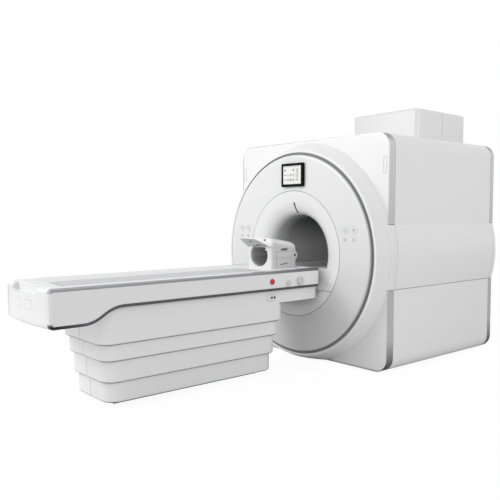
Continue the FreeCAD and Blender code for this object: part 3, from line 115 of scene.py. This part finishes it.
def toned(tree, base, coord, masks, colour):
    """Mixes a colour in where all masks hold: each gives an axis (3 is how far the face looks up,
    4 the distance from the bore's axis) and the two places between which it fades in."""
    place = tree.nodes.new("ShaderNodeSeparateXYZ")
    tree.links.new(coord, place.inputs[0])
    facing = tree.nodes.new("ShaderNodeSeparateXYZ")
    tree.links.new(tree.nodes.new("ShaderNodeNewGeometry").outputs["Normal"], facing.inputs[0])
    radial = tree.nodes.new("ShaderNodeVectorMath")
    radial.operation = "MULTIPLY_ADD"
    tree.links.new(coord, radial.inputs[0])
    radial.inputs[1].default_value = (1.0, 0.0, 1.0)
    radial.inputs[2].default_value = (0.0, 0.0, -bore_height)
    reach = tree.nodes.new("ShaderNodeVectorMath")
    reach.operation = "LENGTH"
    tree.links.new(radial.outputs[0], reach.inputs[0])
    values = [*place.outputs, facing.outputs[2], reach.outputs["Value"]]
    factor = None
    for axis, start, end in masks:
        flip = start > end
        part = ranged(tree, values[axis], float(flip), float(not flip), min(start, end), max(start, end))
        if factor:
            product = tree.nodes.new("ShaderNodeMath")
            product.operation = "MULTIPLY"
            tree.links.new(factor, product.inputs[0])
            tree.links.new(part, product.inputs[1])
            part = product.outputs[0]
        factor = part
    return mixed(tree, factor, base, colour)


def material(name, colour, rough, metallic=0.0, coat=0.0, mottle=0.03, grain=(500.0, 0.02),
             stretch=None, edge=0.0015, wear=0.0, sheen=0.0, gloss=0.04, tones=(), specular=0.5):
    """A finish with slow and fine colour variation, uneven gloss, a fine surface grain, softened edges,
    tones that change with the place, most of them painted shade, and, where wear is set, paler rubbed
    edges."""
    mat = bpy.data.materials.new(name)
    mat.use_nodes = True
    tree = mat.node_tree
    shader = tree.nodes["Principled BSDF"]
    coord = tree.nodes.new("ShaderNodeTexCoord").outputs["Object"]
    slow = noise(tree, coord, 2.3, 2.0)
    fine = noise(tree, coord, 55.0, 4.0, stretch)
    dark = tuple(c * (1 - mottle) for c in colour)
    base = mixed(tree, ranged(tree, slow, 0, 1), dark, colour)
    speck = tuple(c * (1 - mottle * 1.4) for c in colour)
    base = mixed(tree, ranged(tree, fine, 0, 0.5), base, speck)
    bevel = tree.nodes.new("ShaderNodeBevel")
    bevel.samples = 4
    bevel.inputs["Radius"].default_value = edge
    if wear:
        geometry = tree.nodes.new("ShaderNodeNewGeometry")
        dot = tree.nodes.new("ShaderNodeVectorMath")
        dot.operation = "DOT_PRODUCT"
        tree.links.new(bevel.outputs["Normal"], dot.inputs[0])
        tree.links.new(geometry.outputs["Normal"], dot.inputs[1])
        rub = ranged(tree, dot.outputs["Value"], wear, 0.0, 0.75, 0.98)
        bright = tuple(min(c * 1.25 + 0.04, 1.0) for c in colour)
        base = mixed(tree, rub, base, bright)
    for masks, tone in tones:
        base = toned(tree, base, coord, masks, tone)
    tree.links.new(base, shader.inputs["Base Color"])
    tree.links.new(ranged(tree, noise(tree, coord, 9.0, 5.0, stretch), rough - gloss, rough + gloss),
                   shader.inputs["Roughness"])
    shader.inputs["Metallic"].default_value = metallic
    shader.inputs["Specular IOR Level"].default_value = specular
    shader.inputs["Coat Weight"].default_value = coat
    shader.inputs["Coat Roughness"].default_value = 0.12
    shader.inputs["Sheen Weight"].default_value = sheen
    bump = tree.nodes.new("ShaderNodeBump")
    bump.inputs["Strength"].default_value = grain[1]
    bump.inputs["Distance"].default_value = 0.001
    tree.links.new(noise(tree, coord, grain[0], 3.0, stretch), bump.inputs["Height"])
    tree.links.new(bevel.outputs["Normal"], bump.inputs["Normal"])
    tree.links.new(bump.outputs["Normal"], shader.inputs["Normal"])
    return mat


along = (40.0, 1.0, 40.0)
finishes = {
    # cover_white: a darker bottom edge and a greyer roof edge towards the front, both painted shade
    "cover_white": material("cover_white", (0.86, 0.86, 0.862), 0.32, coat=0.25, mottle=0.006, gloss=0.01,
                            tones=((((2, 0.034, 0.022),), (0.36, 0.36, 0.363)),
                                   (((2, 2.14, 2.16), (1, 0.0300, 0.0100)), (0.70, 0.70, 0.703)))),
    # front_white: a dark roof edge on faces looking up, a dark left edge, a darker ring in the groove and a
    # darker bottom edge, all painted shade
    "front_white": material("front_white", (0.84, 0.84, 0.845), 0.30, coat=0.25, mottle=0.006, gloss=0.01,
                            tones=((((3, 0.2, 0.6), (2, 2.096, 2.108)), (0.22, 0.22, 0.223)),
                                   (((0, -0.962, -0.974), (2, 1.35, 1.50)), (0.26, 0.26, 0.263)),
                                   (((4, groove_wall + 0.0045, groove_wall + 0.0010),),
                                    (0.40, 0.40, 0.405)),
                                   (((2, 0.030, 0.018),), (0.36, 0.36, 0.363)))),
    # fascia_white: darker towards the bottom and a dark ring just inside its outer edge, both painted shade
    "fascia_white": material("fascia_white", (0.78, 0.78, 0.785), 0.30, coat=0.3, mottle=0.006, gloss=0.01,
                             tones=((((2, 1.25, 0.8),), (0.70, 0.70, 0.705)),
                                    (((4, fascia_edge - 0.011, fascia_edge - 0.002),),
                                     (0.30, 0.30, 0.305)))),
    "flare_white": material("flare_white", (0.84, 0.84, 0.845), 0.22, coat=0.4, mottle=0.006, gloss=0.01,
                            tones=((((4, flare_rim - 0.004, flare_rim - 0.001),), (0.16, 0.16, 0.163)),
                                   # darker deeper into the funnel and near black at its crown: painted
                                   # shade of the bore's inside
                                   (((1, -1.06, -0.80),), (0.55, 0.55, 0.555)),
                                   (((1, -1.02, -0.80), (2, 1.08, 1.36)), (0.05, 0.05, 0.052)))),
    # liner_white: its base is greyer than the other whites, painted shade of the bore's inside, and its
    # crown is near black, painted shade too
    "liner_white": material("liner_white", (0.60, 0.60, 0.61), 0.30, coat=0.2, mottle=0.01, gloss=0.01,
                            tones=((((2, 1.08, 1.36),), (0.05, 0.05, 0.052)),)),
    "bridge_white": material("bridge_white", (0.76, 0.76, 0.765), 0.40, coat=0.1, mottle=0.008, gloss=0.01),
    "edge_metal": material("edge_metal", (0.60, 0.60, 0.61), 0.34, metallic=0.85, mottle=0.01, gloss=0.01,
                           stretch=along, grain=(60.0, 0.01),
                           # faces looking up are darker (painted shade) and the lower near corner is near
                           # black (painted dark reflection)
                           tones=((((3, 0.3, 0.8),), (0.26, 0.26, 0.263)),
                                  (((2, 0.30, 0.03), (0, 0.75, 0.95)), (0.03, 0.03, 0.032)))),
    "seal_grey": material("seal_grey", (0.33, 0.33, 0.335), 0.70, mottle=0.1, grain=(900.0, 0.1)),
    "table_white": material("table_white", (0.83, 0.83, 0.835), 0.30, coat=0.25, mottle=0.006, gloss=0.01),
    "panel_grey": material("panel_grey", (0.84, 0.84, 0.845), 0.38, coat=0.15, mottle=0.008, gloss=0.01),
    # shroud_white: faces looking down are near black, painted shade under the ledges
    "shroud_white": material("shroud_white", (0.86, 0.86, 0.865), 0.45, mottle=0.01, gloss=0.01,
                             grain=(700.0, 0.03), tones=((((3, -0.2, -0.7),), (0.13, 0.13, 0.133)),)),
    "table_metal": material("table_metal", (0.12, 0.12, 0.125), 0.32, metallic=0.7, mottle=0.06,
                            stretch=along, grain=(60.0, 0.05),
                            tones=((((2, 0.88, 0.90),), (0.34, 0.34, 0.35)),
                                   # the top trim darkens towards the magnet: painted shade
                                   (((2, 0.88, 0.90), (1, -1.9, -1.1)), (0.14, 0.14, 0.145)),
                                   (((1, -3.585, -3.605), (2, 0.672, 0.690), (2, 0.900, 0.885)),
                                    (0.86, 0.86, 0.87)),
                                   # near black low at the foot end: painted shadow under the table's foot
                                   (((1, -3.40, -3.60), (2, 0.69, 0.66)), (0.02, 0.02, 0.02)),
                                   (((0, -0.30, -0.34), (1, -3.40, -3.55)), (0.80, 0.80, 0.805)))),
    "board_white": material("board_white", (0.87, 0.87, 0.872), 0.38, coat=0.1, mottle=0.008, gloss=0.01),
    "pad_grey": material("pad_grey", (0.53, 0.54, 0.55), 0.55, mottle=0.03, grain=(900.0, 0.2), sheen=0.2),
    # coil_white: faces looking down, the inside of the tunnel and the near side are darker, all painted
    # shade
    "coil_white": material("coil_white", (0.84, 0.84, 0.845), 0.38, coat=0.1, mottle=0.01, gloss=0.01,
                           grain=(700.0, 0.04),
                           tones=((((3, -0.2, -0.6),), (0.60, 0.60, 0.605)),
                                  (((0, -0.125, -0.115), (0, 0.125, 0.115), (2, 1.13, 1.12),
                                    (1, -1.499, -1.460)), (0.44, 0.44, 0.445)),
                                  (((0, 0.155, 0.167),), (0.60, 0.60, 0.605)))),
    "latch_white": material("latch_white", (0.90, 0.90, 0.90), 0.35, mottle=0.02),
    "steel_frame": material("steel_frame", (0.30, 0.31, 0.33), 0.5, mottle=0.1, wear=0.5,
                            grain=(400.0, 0.1)),
    "vessel_steel": material("vessel_steel", (0.55, 0.55, 0.56), 0.35, metallic=1.0, mottle=0.08,
                             stretch=(2, 40, 2)),
    "inner_steel": material("inner_steel", (0.60, 0.60, 0.61), 0.35, metallic=1.0, mottle=0.08,
                            stretch=(2, 40, 2)),
    "winding_copper": material("winding_copper", (0.62, 0.32, 0.17), 0.4, metallic=0.9, mottle=0.15,
                               stretch=(2, 60, 2)),
    "epoxy_brown": material("epoxy_brown", (0.36, 0.27, 0.14), 0.5, mottle=0.2, grain=(300.0, 0.1)),
    "antenna_copper": material("antenna_copper", (0.65, 0.36, 0.2), 0.3, metallic=1.0, mottle=0.1),
    "cooler_metal": material("cooler_metal", (0.5, 0.51, 0.52), 0.35, metallic=1.0, mottle=0.1),
    "frame_metal": material("frame_metal", (0.5, 0.51, 0.52), 0.4, metallic=0.9, mottle=0.1, stretch=along),
    "column_metal": material("column_metal", (0.55, 0.56, 0.57), 0.3, metallic=1.0, mottle=0.08,
                             stretch=(40, 40, 1)),
    "drive_dark": material("drive_dark", (0.04, 0.04, 0.045), 0.45, mottle=0.2, wear=0.3,
                           grain=(500.0, 0.1)),
    "pulley_metal": material("pulley_metal", (0.55, 0.55, 0.56), 0.3, metallic=1.0, mottle=0.08),
    "belt_black": material("belt_black", (0.03, 0.03, 0.03), 0.7, mottle=0.2, grain=(900.0, 0.2)),
    "display_black": material("display_black", (0.006, 0.006, 0.007), 0.5, specular=0.05, mottle=0.1),
    "screen_glass": material("screen_glass", (0.84, 0.84, 0.82), 0.20, mottle=0.03, grain=(500.0, 0.0)),
    "key_white": material("key_white", (0.74, 0.74, 0.745), 0.35, coat=0.1, mottle=0.02),
    "lamp_grey": material("lamp_grey", (0.60, 0.61, 0.62), 0.25, coat=0.3, mottle=0.03),
    "light_dark": material("light_dark", (0.05, 0.05, 0.055), 0.2, coat=0.4, mottle=0.1),
    "stop_red": material("stop_red", (0.55, 0.02, 0.025), 0.3, coat=0.4, mottle=0.05),
    "knob_grey": material("knob_grey", (0.66, 0.66, 0.665), 0.3, coat=0.2, mottle=0.02),
    "socket_grey": material("socket_grey", (0.78, 0.78, 0.785), 0.4, mottle=0.02),
}
for name, obj in nodes.items():
    finish = finishes[slot_of[name]]
    if not obj.material_slots:
        obj.data.materials.append(finish)
    for place in obj.material_slots:
        place.material = finish


# ---- pieces the scene adds -----------------------------------------------------------------------
def piece(name, verts, faces, finish, slot, body, smooth=True):
    mesh = bpy.data.meshes.new(name)
    mesh.from_pydata(verts, [], faces)
    work = bmesh.new()
    work.from_mesh(mesh)
    bmesh.ops.recalc_face_normals(work, faces=work.faces)
    work.to_mesh(mesh)
    work.free()
    if smooth:
        mesh.shade_smooth()
    mesh.materials.append(finish)
    obj = bpy.data.objects.new(name, mesh)
    bpy.context.scene.collection.objects.link(obj)
    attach(obj, body)
    return obj


def ring_points(count):
    return [(math.cos(math.tau * i / count), math.sin(math.tau * i / count)) for i in range(count)]


def lathe_x(centre, profile, sign=1.0, count=40):
    """A form turned about an axis along X: the profile holds (radius, reach) pairs."""
    verts, faces = [], []
    x0, y0, z0 = centre
    for radius, reach in profile:
        for c, s in ring_points(count):
            verts.append((x0 + sign * reach, y0 + radius * c, z0 + radius * s))
    for row in range(len(profile) - 1):
        for i in range(count):
            j = (i + 1) % count
            near, far = row * count, (row + 1) * count
            faces.append((near + i, near + j, far + j, far + i))
    faces.append(tuple(range(count)))
    faces.append(tuple(range((len(profile) - 1) * count, len(profile) * count)))
    return verts, faces


def merged(parts):
    verts, faces = [], []
    for part_verts, part_faces in parts:
        start = len(verts)
        verts += part_verts
        faces += [tuple(start + i for i in face) for face in part_faces]
    return verts, faces


def slab(place, corners, low, high):
    """A flat form with the given outline between two distances; place turns them into points."""
    count = len(corners)
    verts = [place(u, v, low) for u, v in corners] + [place(u, v, high) for u, v in corners]
    faces = [tuple(range(count)), tuple(range(count, 2 * count))]
    faces += [(i, (i + 1) % count, count + (i + 1) % count, count + i) for i in range(count)]
    return verts, faces


def rounded_box(u0, u1, v0, v1, radius, steps=4):
    points = []
    for u, v, start in ((u1, v1, 0), (u0, v1, 1), (u0, v0, 2), (u1, v0, 3)):
        cu = u - radius if u == u1 else u + radius
        cv = v - radius if v == v1 else v + radius
        for i in range(steps + 1):
            turn = math.pi / 2 * (start + i / steps)
            points.append((cu + radius * math.cos(turn), cv + radius * math.sin(turn)))
    return points


# the mattress: a sewn pad with four cross channels and a piped edge
pad_half, pad_foot, pad_head = 0.1745, -3.4285, -1.5815
pad_low, pad_high, pad_corner = 0.8884, 0.9035, 0.058
pad_channels = (37, 74, 111, 148)
pad_rows, pad_columns = 185, 34
pad_crown, pad_end_rows, pad_rim = 0.0030, 6.0, 0.0045
stitch_depth, stitch_shoulder = 0.0040, 0.0014
cloth_cap, cloth_steps, cloth_pressure = 0.0045, 20, 4.0
piping_inset = 0.0022


def pad_width(y, inset):
    depth = min(y - pad_foot, pad_head - y)
    corner = pad_corner
    if depth >= corner:
        return pad_half - inset
    return pad_half - corner + math.sqrt(max(corner**2 - (corner - depth)**2, 0)) - inset


def pad_point(row, column, inset, z):
    y = pad_foot + inset + (pad_head - pad_foot - 2 * inset) * row / pad_rows
    u = 2.0 * column / pad_columns - 1.0
    return Vector((u * pad_width(y, inset), y, z))


def pad_form():
    verts, faces, pinned = [], [], []
    rows, columns = pad_rows + 1, pad_columns + 1
    index = {}
    for row in range(rows):
        for column in range(columns):
            u = 2.0 * column / pad_columns - 1.0
            ends = min(row, pad_rows - row) / pad_end_rows
            crown = pad_crown * (1 - u**4) * min(ends, 1.0)
            away = min(abs(row - channel) for channel in pad_channels)
            sewn = stitch_depth if away == 0 else stitch_shoulder if away == 1 else 0.0
            index["top", row, column] = len(verts)
            verts.append(pad_point(row, column, pad_rim, pad_high + crown - sewn))
            if away == 0:
                pinned.append(index["top", row, column])
            index["low", row, column] = len(verts)
            pinned.append(len(verts))
            verts.append(pad_point(row, column, pad_rim, pad_low))
    rim = [(0, c) for c in range(columns)] + [(r, pad_columns) for r in range(1, rows)]
    rim += [(pad_rows, c) for c in range(pad_columns - 1, -1, -1)]
    rim += [(r, 0) for r in range(pad_rows - 1, 0, -1)]
    loops = []
    for share, inset in ((0.25, 0.0008), (0.75, 0.0008)):
        loop = []
        for row, column in rim:
            loop.append(len(verts))
            pinned.append(len(verts))
            verts.append(pad_point(row, column, inset, pad_low + (pad_high - pad_low) * share))
        loops.append(loop)
    for row in range(pad_rows):
        for column in range(pad_columns):
            for sheet in ("top", "low"):
                square = ((row, column), (row, column + 1), (row + 1, column + 1), (row + 1, column))
                faces.append(tuple(index[sheet, r, c] for r, c in square))
    chain = [[index["low", r, c] for r, c in rim], *loops, [index["top", r, c] for r, c in rim]]
    for first, second in zip(chain, chain[1:]):
        for i in range(len(rim)):
            j = (i + 1) % len(rim)
            faces.append((first[i], first[j], second[j], second[i]))
    return verts, faces, pinned


verts, faces, pinned = pad_form()
pad = piece("mattress_pad", verts, faces, finishes["pad_grey"], "pad_grey", "board")
group = pad.vertex_groups.new(name="sewn")
group.add(pinned, 1.0, "REPLACE")
cloth = pad.modifiers.new("cloth", "CLOTH")
cloth.settings.vertex_group_mass = "sewn"
cloth.settings.use_pressure = True
cloth.settings.uniform_pressure_force = cloth_pressure
cloth.settings.effector_weights.gravity = 0.0
cloth.settings.quality = 5
for step in range(1, cloth_steps + 1):
    bpy.context.scene.frame_set(step)
shown = pad.evaluated_get(bpy.context.evaluated_depsgraph_get())
moved = [vert.co.copy() for vert in shown.data.vertices]
pad.modifiers.remove(cloth)
for vert, place in zip(pad.data.vertices, moved):
    shift = place - vert.co
    if shift.length > cloth_cap:
        shift *= cloth_cap / shift.length
    vert.co += shift
bpy.context.scene.frame_set(1)
rounder = pad.modifiers.new("rounder", "SUBSURF")
rounder.levels = rounder.render_levels = 1
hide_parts("mattress")


def tube(path, radius, count=8):
    """A closed tube round a level loop of points."""
    verts, faces = [], []
    total = len(path)
    for i, here in enumerate(path):
        ahead = (path[(i + 1) % total] - path[i - 1]).normalized()
        side = Vector((ahead.y, -ahead.x, 0))
        for c, s in ring_points(count):
            verts.append(here + side * radius * c + Vector((0, 0, radius * s)))
    for i in range(total):
        j = (i + 1) % total
        for k in range(count):
            m = (k + 1) % count
            faces.append((i * count + k, i * count + m, j * count + m, j * count + k))
    return verts, faces


def pad_loop(inset, z):
    corners = rounded_box(-pad_half + inset, pad_half - inset, pad_foot + inset, pad_head - inset,
                          pad_corner - inset, 10)
    path = []
    for (u0, v0), (u1, v1) in zip(corners, corners[1:] + corners[:1]):
        steps = max(1, round(math.hypot(u1 - u0, v1 - v0) / 0.02))
        for k in range(steps):
            path.append(Vector((u0 + (u1 - u0) * k / steps, v0 + (v1 - v0) * k / steps, z)))
    return path


piping = merged([tube(pad_loop(piping_inset, pad_high - 0.0012), 0.0017),
                 tube(pad_loop(piping_inset, pad_low + 0.0022), 0.0015)])
piece("mattress_piping", *piping, finishes["pad_grey"], "pad_grey", "board")


# the display's picture: plain marks and a column of fields behind the glass
def on_screen(u, v, out):
    return screen_x + u, screen_face - out, screen_z + v


rng = random.Random(5)
tiles = []
for row in range(3):
    for column in range(4):
        u, v = -0.094 + 0.038 * column, 0.046 - 0.046 * row
        wide, tall = rng.uniform(0.007, 0.014), rng.uniform(0.005, 0.012)
        if rng.random() < 0.85:
            tile = rounded_box(u - wide, u + wide, v - tall, v + tall, 0.003)
            tiles.append(slab(on_screen, tile, 0.0, mark_rise))
piece("screen_marks", *merged(tiles), material("screen_mark", (0.38, 0.41, 0.32), 0.5, mottle=0.2),
      "screen_glass", "magnet", smooth=False)
fields = [slab(on_screen, rounded_box(0.052, 0.088, v - 0.004, v + 0.004, 0.002), 0.0, mark_rise)
          for v in (0.054, 0.040, 0.026, 0.008, -0.006, -0.020, -0.038, -0.052)]
fields.append(slab(on_screen, rounded_box(-0.110, 0.110, 0.076, 0.082, 0.002), 0.0, mark_rise))
frame_sides = [(-0.129, 0.129, 0.086, 0.095), (-0.129, 0.129, -0.095, -0.086),
               (-0.129, -0.119, -0.086, 0.086), (0.119, 0.129, -0.086, 0.086)]
border = [slab(on_screen, [(u0, v0), (u1, v0), (u1, v1), (u0, v1)], 0.0, line_slack)
          for u0, u1, v0, v1 in frame_sides]
piece("screen_border", *merged(border), finishes["display_black"], "display_black", "magnet", smooth=False)
piece("screen_fields", *merged(fields), material("screen_field", (0.44, 0.45, 0.46), 0.5, mottle=0.1),
      "screen_glass", "magnet", smooth=False)


# plain marks on the keys
def triangle(size, turn):
    corners = []
    for i in range(3):
        angle = turn + math.tau * i / 3
        corners.append((size * math.cos(angle), size * math.sin(angle)))
    return corners


key_marks = {
    "left_outer": [triangle(0.015, math.pi / 2)],
    "left_inner": [triangle(0.015, -math.pi / 2)],
    "right_inner": [rounded_box(-0.012, 0.012, -0.003, 0.003, 0.0015),
                    rounded_box(-0.003, 0.003, 0.0045, 0.012, 0.001)],
    "right_outer": [rounded_box(-0.009, 0.009, -0.009, 0.009, 0.003)],
}
key_x = {"left_outer": -0.760, "left_inner": -0.660, "right_inner": 0.660, "right_outer": 0.760}
mark_grey = material("mark_grey", (0.40, 0.41, 0.42), 0.5, mottle=0.1)
for name, outlines in key_marks.items():
    x = key_x[name]
    forms = [slab(lambda u, v, out: (x + u, key_face - out, key_z + v), corners, 0.0, mark_rise)
             for corners in outlines]
    piece("mark_" + name, *merged(forms), mark_grey, "key_white", "key_" + name, smooth=False)


# dark linings in the two sockets, which paint the shade deep inside them, and caps on the coil's pivots
socket_form = [(0.0003, 0.0), (0.0020, 0.0022), (0.0062, 0.0022), (0.0062, 0.0008), (0.0070, 0.0008),
               (0.0070, 0.0036), (0.0108, 0.0038), (0.0112, 0.0002)]
dark = material("socket_dark", (0.010, 0.010, 0.011), 0.6, mottle=0.2, specular=0.2)
sockets = [lathe_x((socket_x, y, socket_z), socket_form) for y in socket_ys]
piece("socket_linings", *merged(sockets), dark, "socket_grey", "table")
cap_form = [(0.0095, -0.0002), (0.0098, 0.0036), (0.0090, 0.0048), (0.0055, 0.0052), (0.0050, 0.0044),
            (0.0008, 0.0042)]
caps = [lathe_x((sign * pivot_side, *pivot_place), cap_form, sign) for sign in (1.0, -1.0)]
piece("coil_pivot_caps", *merged(caps), dark, "coil_white", "board")


# a small dark inset in the coil's front face, just below its roof
def on_front(u, v, out):
    return inset_x + u, inset_face - out, inset_z + v


oval = [(0.016 * c, 0.0065 * s) for c, s in ring_points(32)]
inner = [(0.011 * c, 0.0035 * s) for c, s in ring_points(32)]
inset = merged([slab(on_front, oval, -0.0020, 0.0008), slab(on_front, inner, 0.0006, 0.0014)])
piece("coil_roof_inset", *inset, dark, "coil_white", "coil_lid", smooth=False)


# dark floors in the windows and slots of the coil's sides, which paint the shade at the bottom of these
# recesses
window_depth, panel_rise = 0.158, 0.0016


def window_floor(sign, y, z, length, height, rise, lean):
    """A raised dark panel on the floor of a window that paints the shade there; its outline follows the
    window's.
    """
    rim = 0.003
    corners = [(y + rim, z + rim), (y + length - lean - rim, z + rise + rim),
               (y + length - rim, z + rise + height - rim), (y + lean + rim, z + height - rim)]
    return slab(lambda u, v, out: (sign * (window_depth + out), u, v), corners[::int(sign)],
                -line_slack, panel_rise)


floor_grey = material("window_floor", (0.10, 0.10, 0.105), 0.5, mottle=0.1)
uppers = [window_floor(sign, -1.391, 1.072, 0.104, 0.024, 0.0, 0.018) for sign in (1.0, -1.0)]
lowers = [window_floor(sign, -1.385, 0.940, 0.092, 0.013, 0.011, 0.0) for sign in (1.0, -1.0)]
piece("coil_window_floors", *merged(uppers), floor_grey, "coil_white", "coil_lid", smooth=False)
piece("coil_slot_floors", *merged(lowers), floor_grey, "coil_white", "board", smooth=False)


# the dark lining of the hole in the brim, which paints the shade inside the hole
def on_brim(u, v, out):
    return (u, brim_y - brim_along * v + brim_across * out,
            brim_z + brim_across * v + brim_along * out)


disc = [(0.0150 * c, 0.0150 * s) for c, s in ring_points(32)]
dish = [(0.0095 * c, 0.0095 * s) for c, s in ring_points(32)]
lining = merged([slab(on_brim, disc, -0.0006, 0.0060), slab(on_brim, dish, -0.0011, 0.0014)])
piece("brim_hole_lining", *lining, dark, "coil_white", "coil_lid", smooth=False)


# thin dark joints along the coil: the split, the line below it and the groove near the mouth
def side_strip(sign, reach, y0, y1, z0, z1):
    corners = [(y0, z0), (y1, z0), (y1, z1), (y0, z1)]
    return slab(lambda u, v, out: (sign * (reach + out), u, v), corners, -line_slack, line_slack)


joint_forms = ((coil_side, -1.462, -1.212, 1.0640, 1.0654), (coil_side, -1.462, -1.212, 1.0083, 1.0097),
               (groove_floor, -1.4365, -1.4345, 0.900, 1.062))
joints = [side_strip(sign, *form) for sign in (1.0, -1.0) for form in joint_forms]
piece("coil_joints", *merged(joints), floor_grey, "coil_white", "board", smooth=False)

# a pointer on each knob
for name, (y, z), reach, radius in (("knob_front", (-1.496, 0.805), 0.3993, 0.026),
                                    ("knob_rear", (-1.354, 0.818), 0.4093, 0.037)):
    pointer = rounded_box(-0.0012, 0.0012, radius * 0.30, radius * 0.72, 0.0008)
    form = slab(lambda u, v, out: (reach + dome_rise + out, y + u, z + v), pointer, 0.0, pointer_rise)
    piece(name + "_pointer", *form, mark_grey, "knob_grey", name, smooth=False)


# ---- light and surroundings ----------------------------------------------------------------------
sky_front, sky_back = 0.95, 0.30
glow_strength, glow_share = 1.06, 0.88
floor_radius, floor_drop = 60.0, 0.002
world = bpy.data.worlds.new("world")
bpy.context.scene.world = world
world.use_nodes = True
tree = world.node_tree
tree.nodes.clear()
out = tree.nodes.new("ShaderNodeOutputWorld")
lit = tree.nodes.new("ShaderNodeBackground")
seen = tree.nodes.new("ShaderNodeBackground")
seen.inputs["Color"].default_value = (1, 1, 1, 1)
seen.inputs["Strength"].default_value = 1.0
coord = tree.nodes.new("ShaderNodeTexCoord").outputs["Generated"]
split = tree.nodes.new("ShaderNodeSeparateXYZ")
tree.links.new(coord, split.inputs["Vector"])
front = ranged(tree, split.outputs["Y"], sky_front, sky_back, -1.0, 1.0)
tree.links.new(front, lit.inputs["Strength"])
lit.inputs["Color"].default_value = (1, 1, 1, 1)
path = tree.nodes.new("ShaderNodeLightPath")
rays = tree.nodes.new("ShaderNodeMath")
rays.operation = "MAXIMUM"
tree.links.new(path.outputs["Is Camera Ray"], rays.inputs[0])
tree.links.new(path.outputs["Is Transmission Ray"], rays.inputs[1])
glossy = tree.nodes.new("ShaderNodeMath")
glossy.operation = "MAXIMUM"
tree.links.new(rays.outputs[0], glossy.inputs[0])
tree.links.new(path.outputs["Is Glossy Ray"], glossy.inputs[1])
mix = tree.nodes.new("ShaderNodeMixShader")
tree.links.new(glossy.outputs[0], mix.inputs[0])
tree.links.new(lit.outputs[0], mix.inputs[1])
tree.links.new(seen.outputs[0], mix.inputs[2])
tree.links.new(mix.outputs[0], out.inputs["Surface"])


def lamp(name, place, aim, size, power):
    data = bpy.data.lights.new(name, "AREA")
    data.shape = "RECTANGLE"
    data.size, data.size_y = size
    data.energy = power
    obj = bpy.data.objects.new(name, data)
    obj.location = place
    obj.rotation_euler = (Vector(aim) - Vector(place)).to_track_quat("-Z", "Y").to_euler()
    bpy.context.scene.collection.objects.link(obj)


lamp("key", (-3.5, -7.5, 5.0), (0, -0.8, 1.0), (4.0, 4.0), 260)
lamp("fill", (7.0, -1.0, 3.5), (0, 0, 1.0), (4.0, 3.0), 75)

floor_mesh = bpy.data.meshes.new("floor")
work = bmesh.new()
bmesh.ops.create_circle(work, cap_ends=True, segments=64, radius=floor_radius)
work.to_mesh(floor_mesh)
work.free()
floor = bpy.data.objects.new("floor", floor_mesh)
floor.location = (0, 0, -floor_drop)
bpy.context.scene.collection.objects.link(floor)
floor_mat = bpy.data.materials.new("floor")
floor_mat.use_nodes = True
tree = floor_mat.node_tree
shader = tree.nodes["Principled BSDF"]
shader.inputs["Base Color"].default_value = (0.78, 0.78, 0.78, 1)
shader.inputs["Roughness"].default_value = 0.8
glow = tree.nodes.new("ShaderNodeEmission")
glow.inputs["Strength"].default_value = glow_strength
path = tree.nodes.new("ShaderNodeLightPath")
part = tree.nodes.new("ShaderNodeMath")
part.operation = "MULTIPLY"
part.inputs[1].default_value = glow_share
tree.links.new(path.outputs["Is Camera Ray"], part.inputs[0])
mix = tree.nodes.new("ShaderNodeMixShader")
tree.links.new(part.outputs[0], mix.inputs[0])
tree.links.new(shader.outputs[0], mix.inputs[1])
tree.links.new(glow.outputs[0], mix.inputs[2])
tree.links.new(mix.outputs[0], tree.nodes["Material Output"].inputs["Surface"])
floor.data.materials.append(floor_mat)

bpy.context.scene.view_settings.view_transform = "Standard"
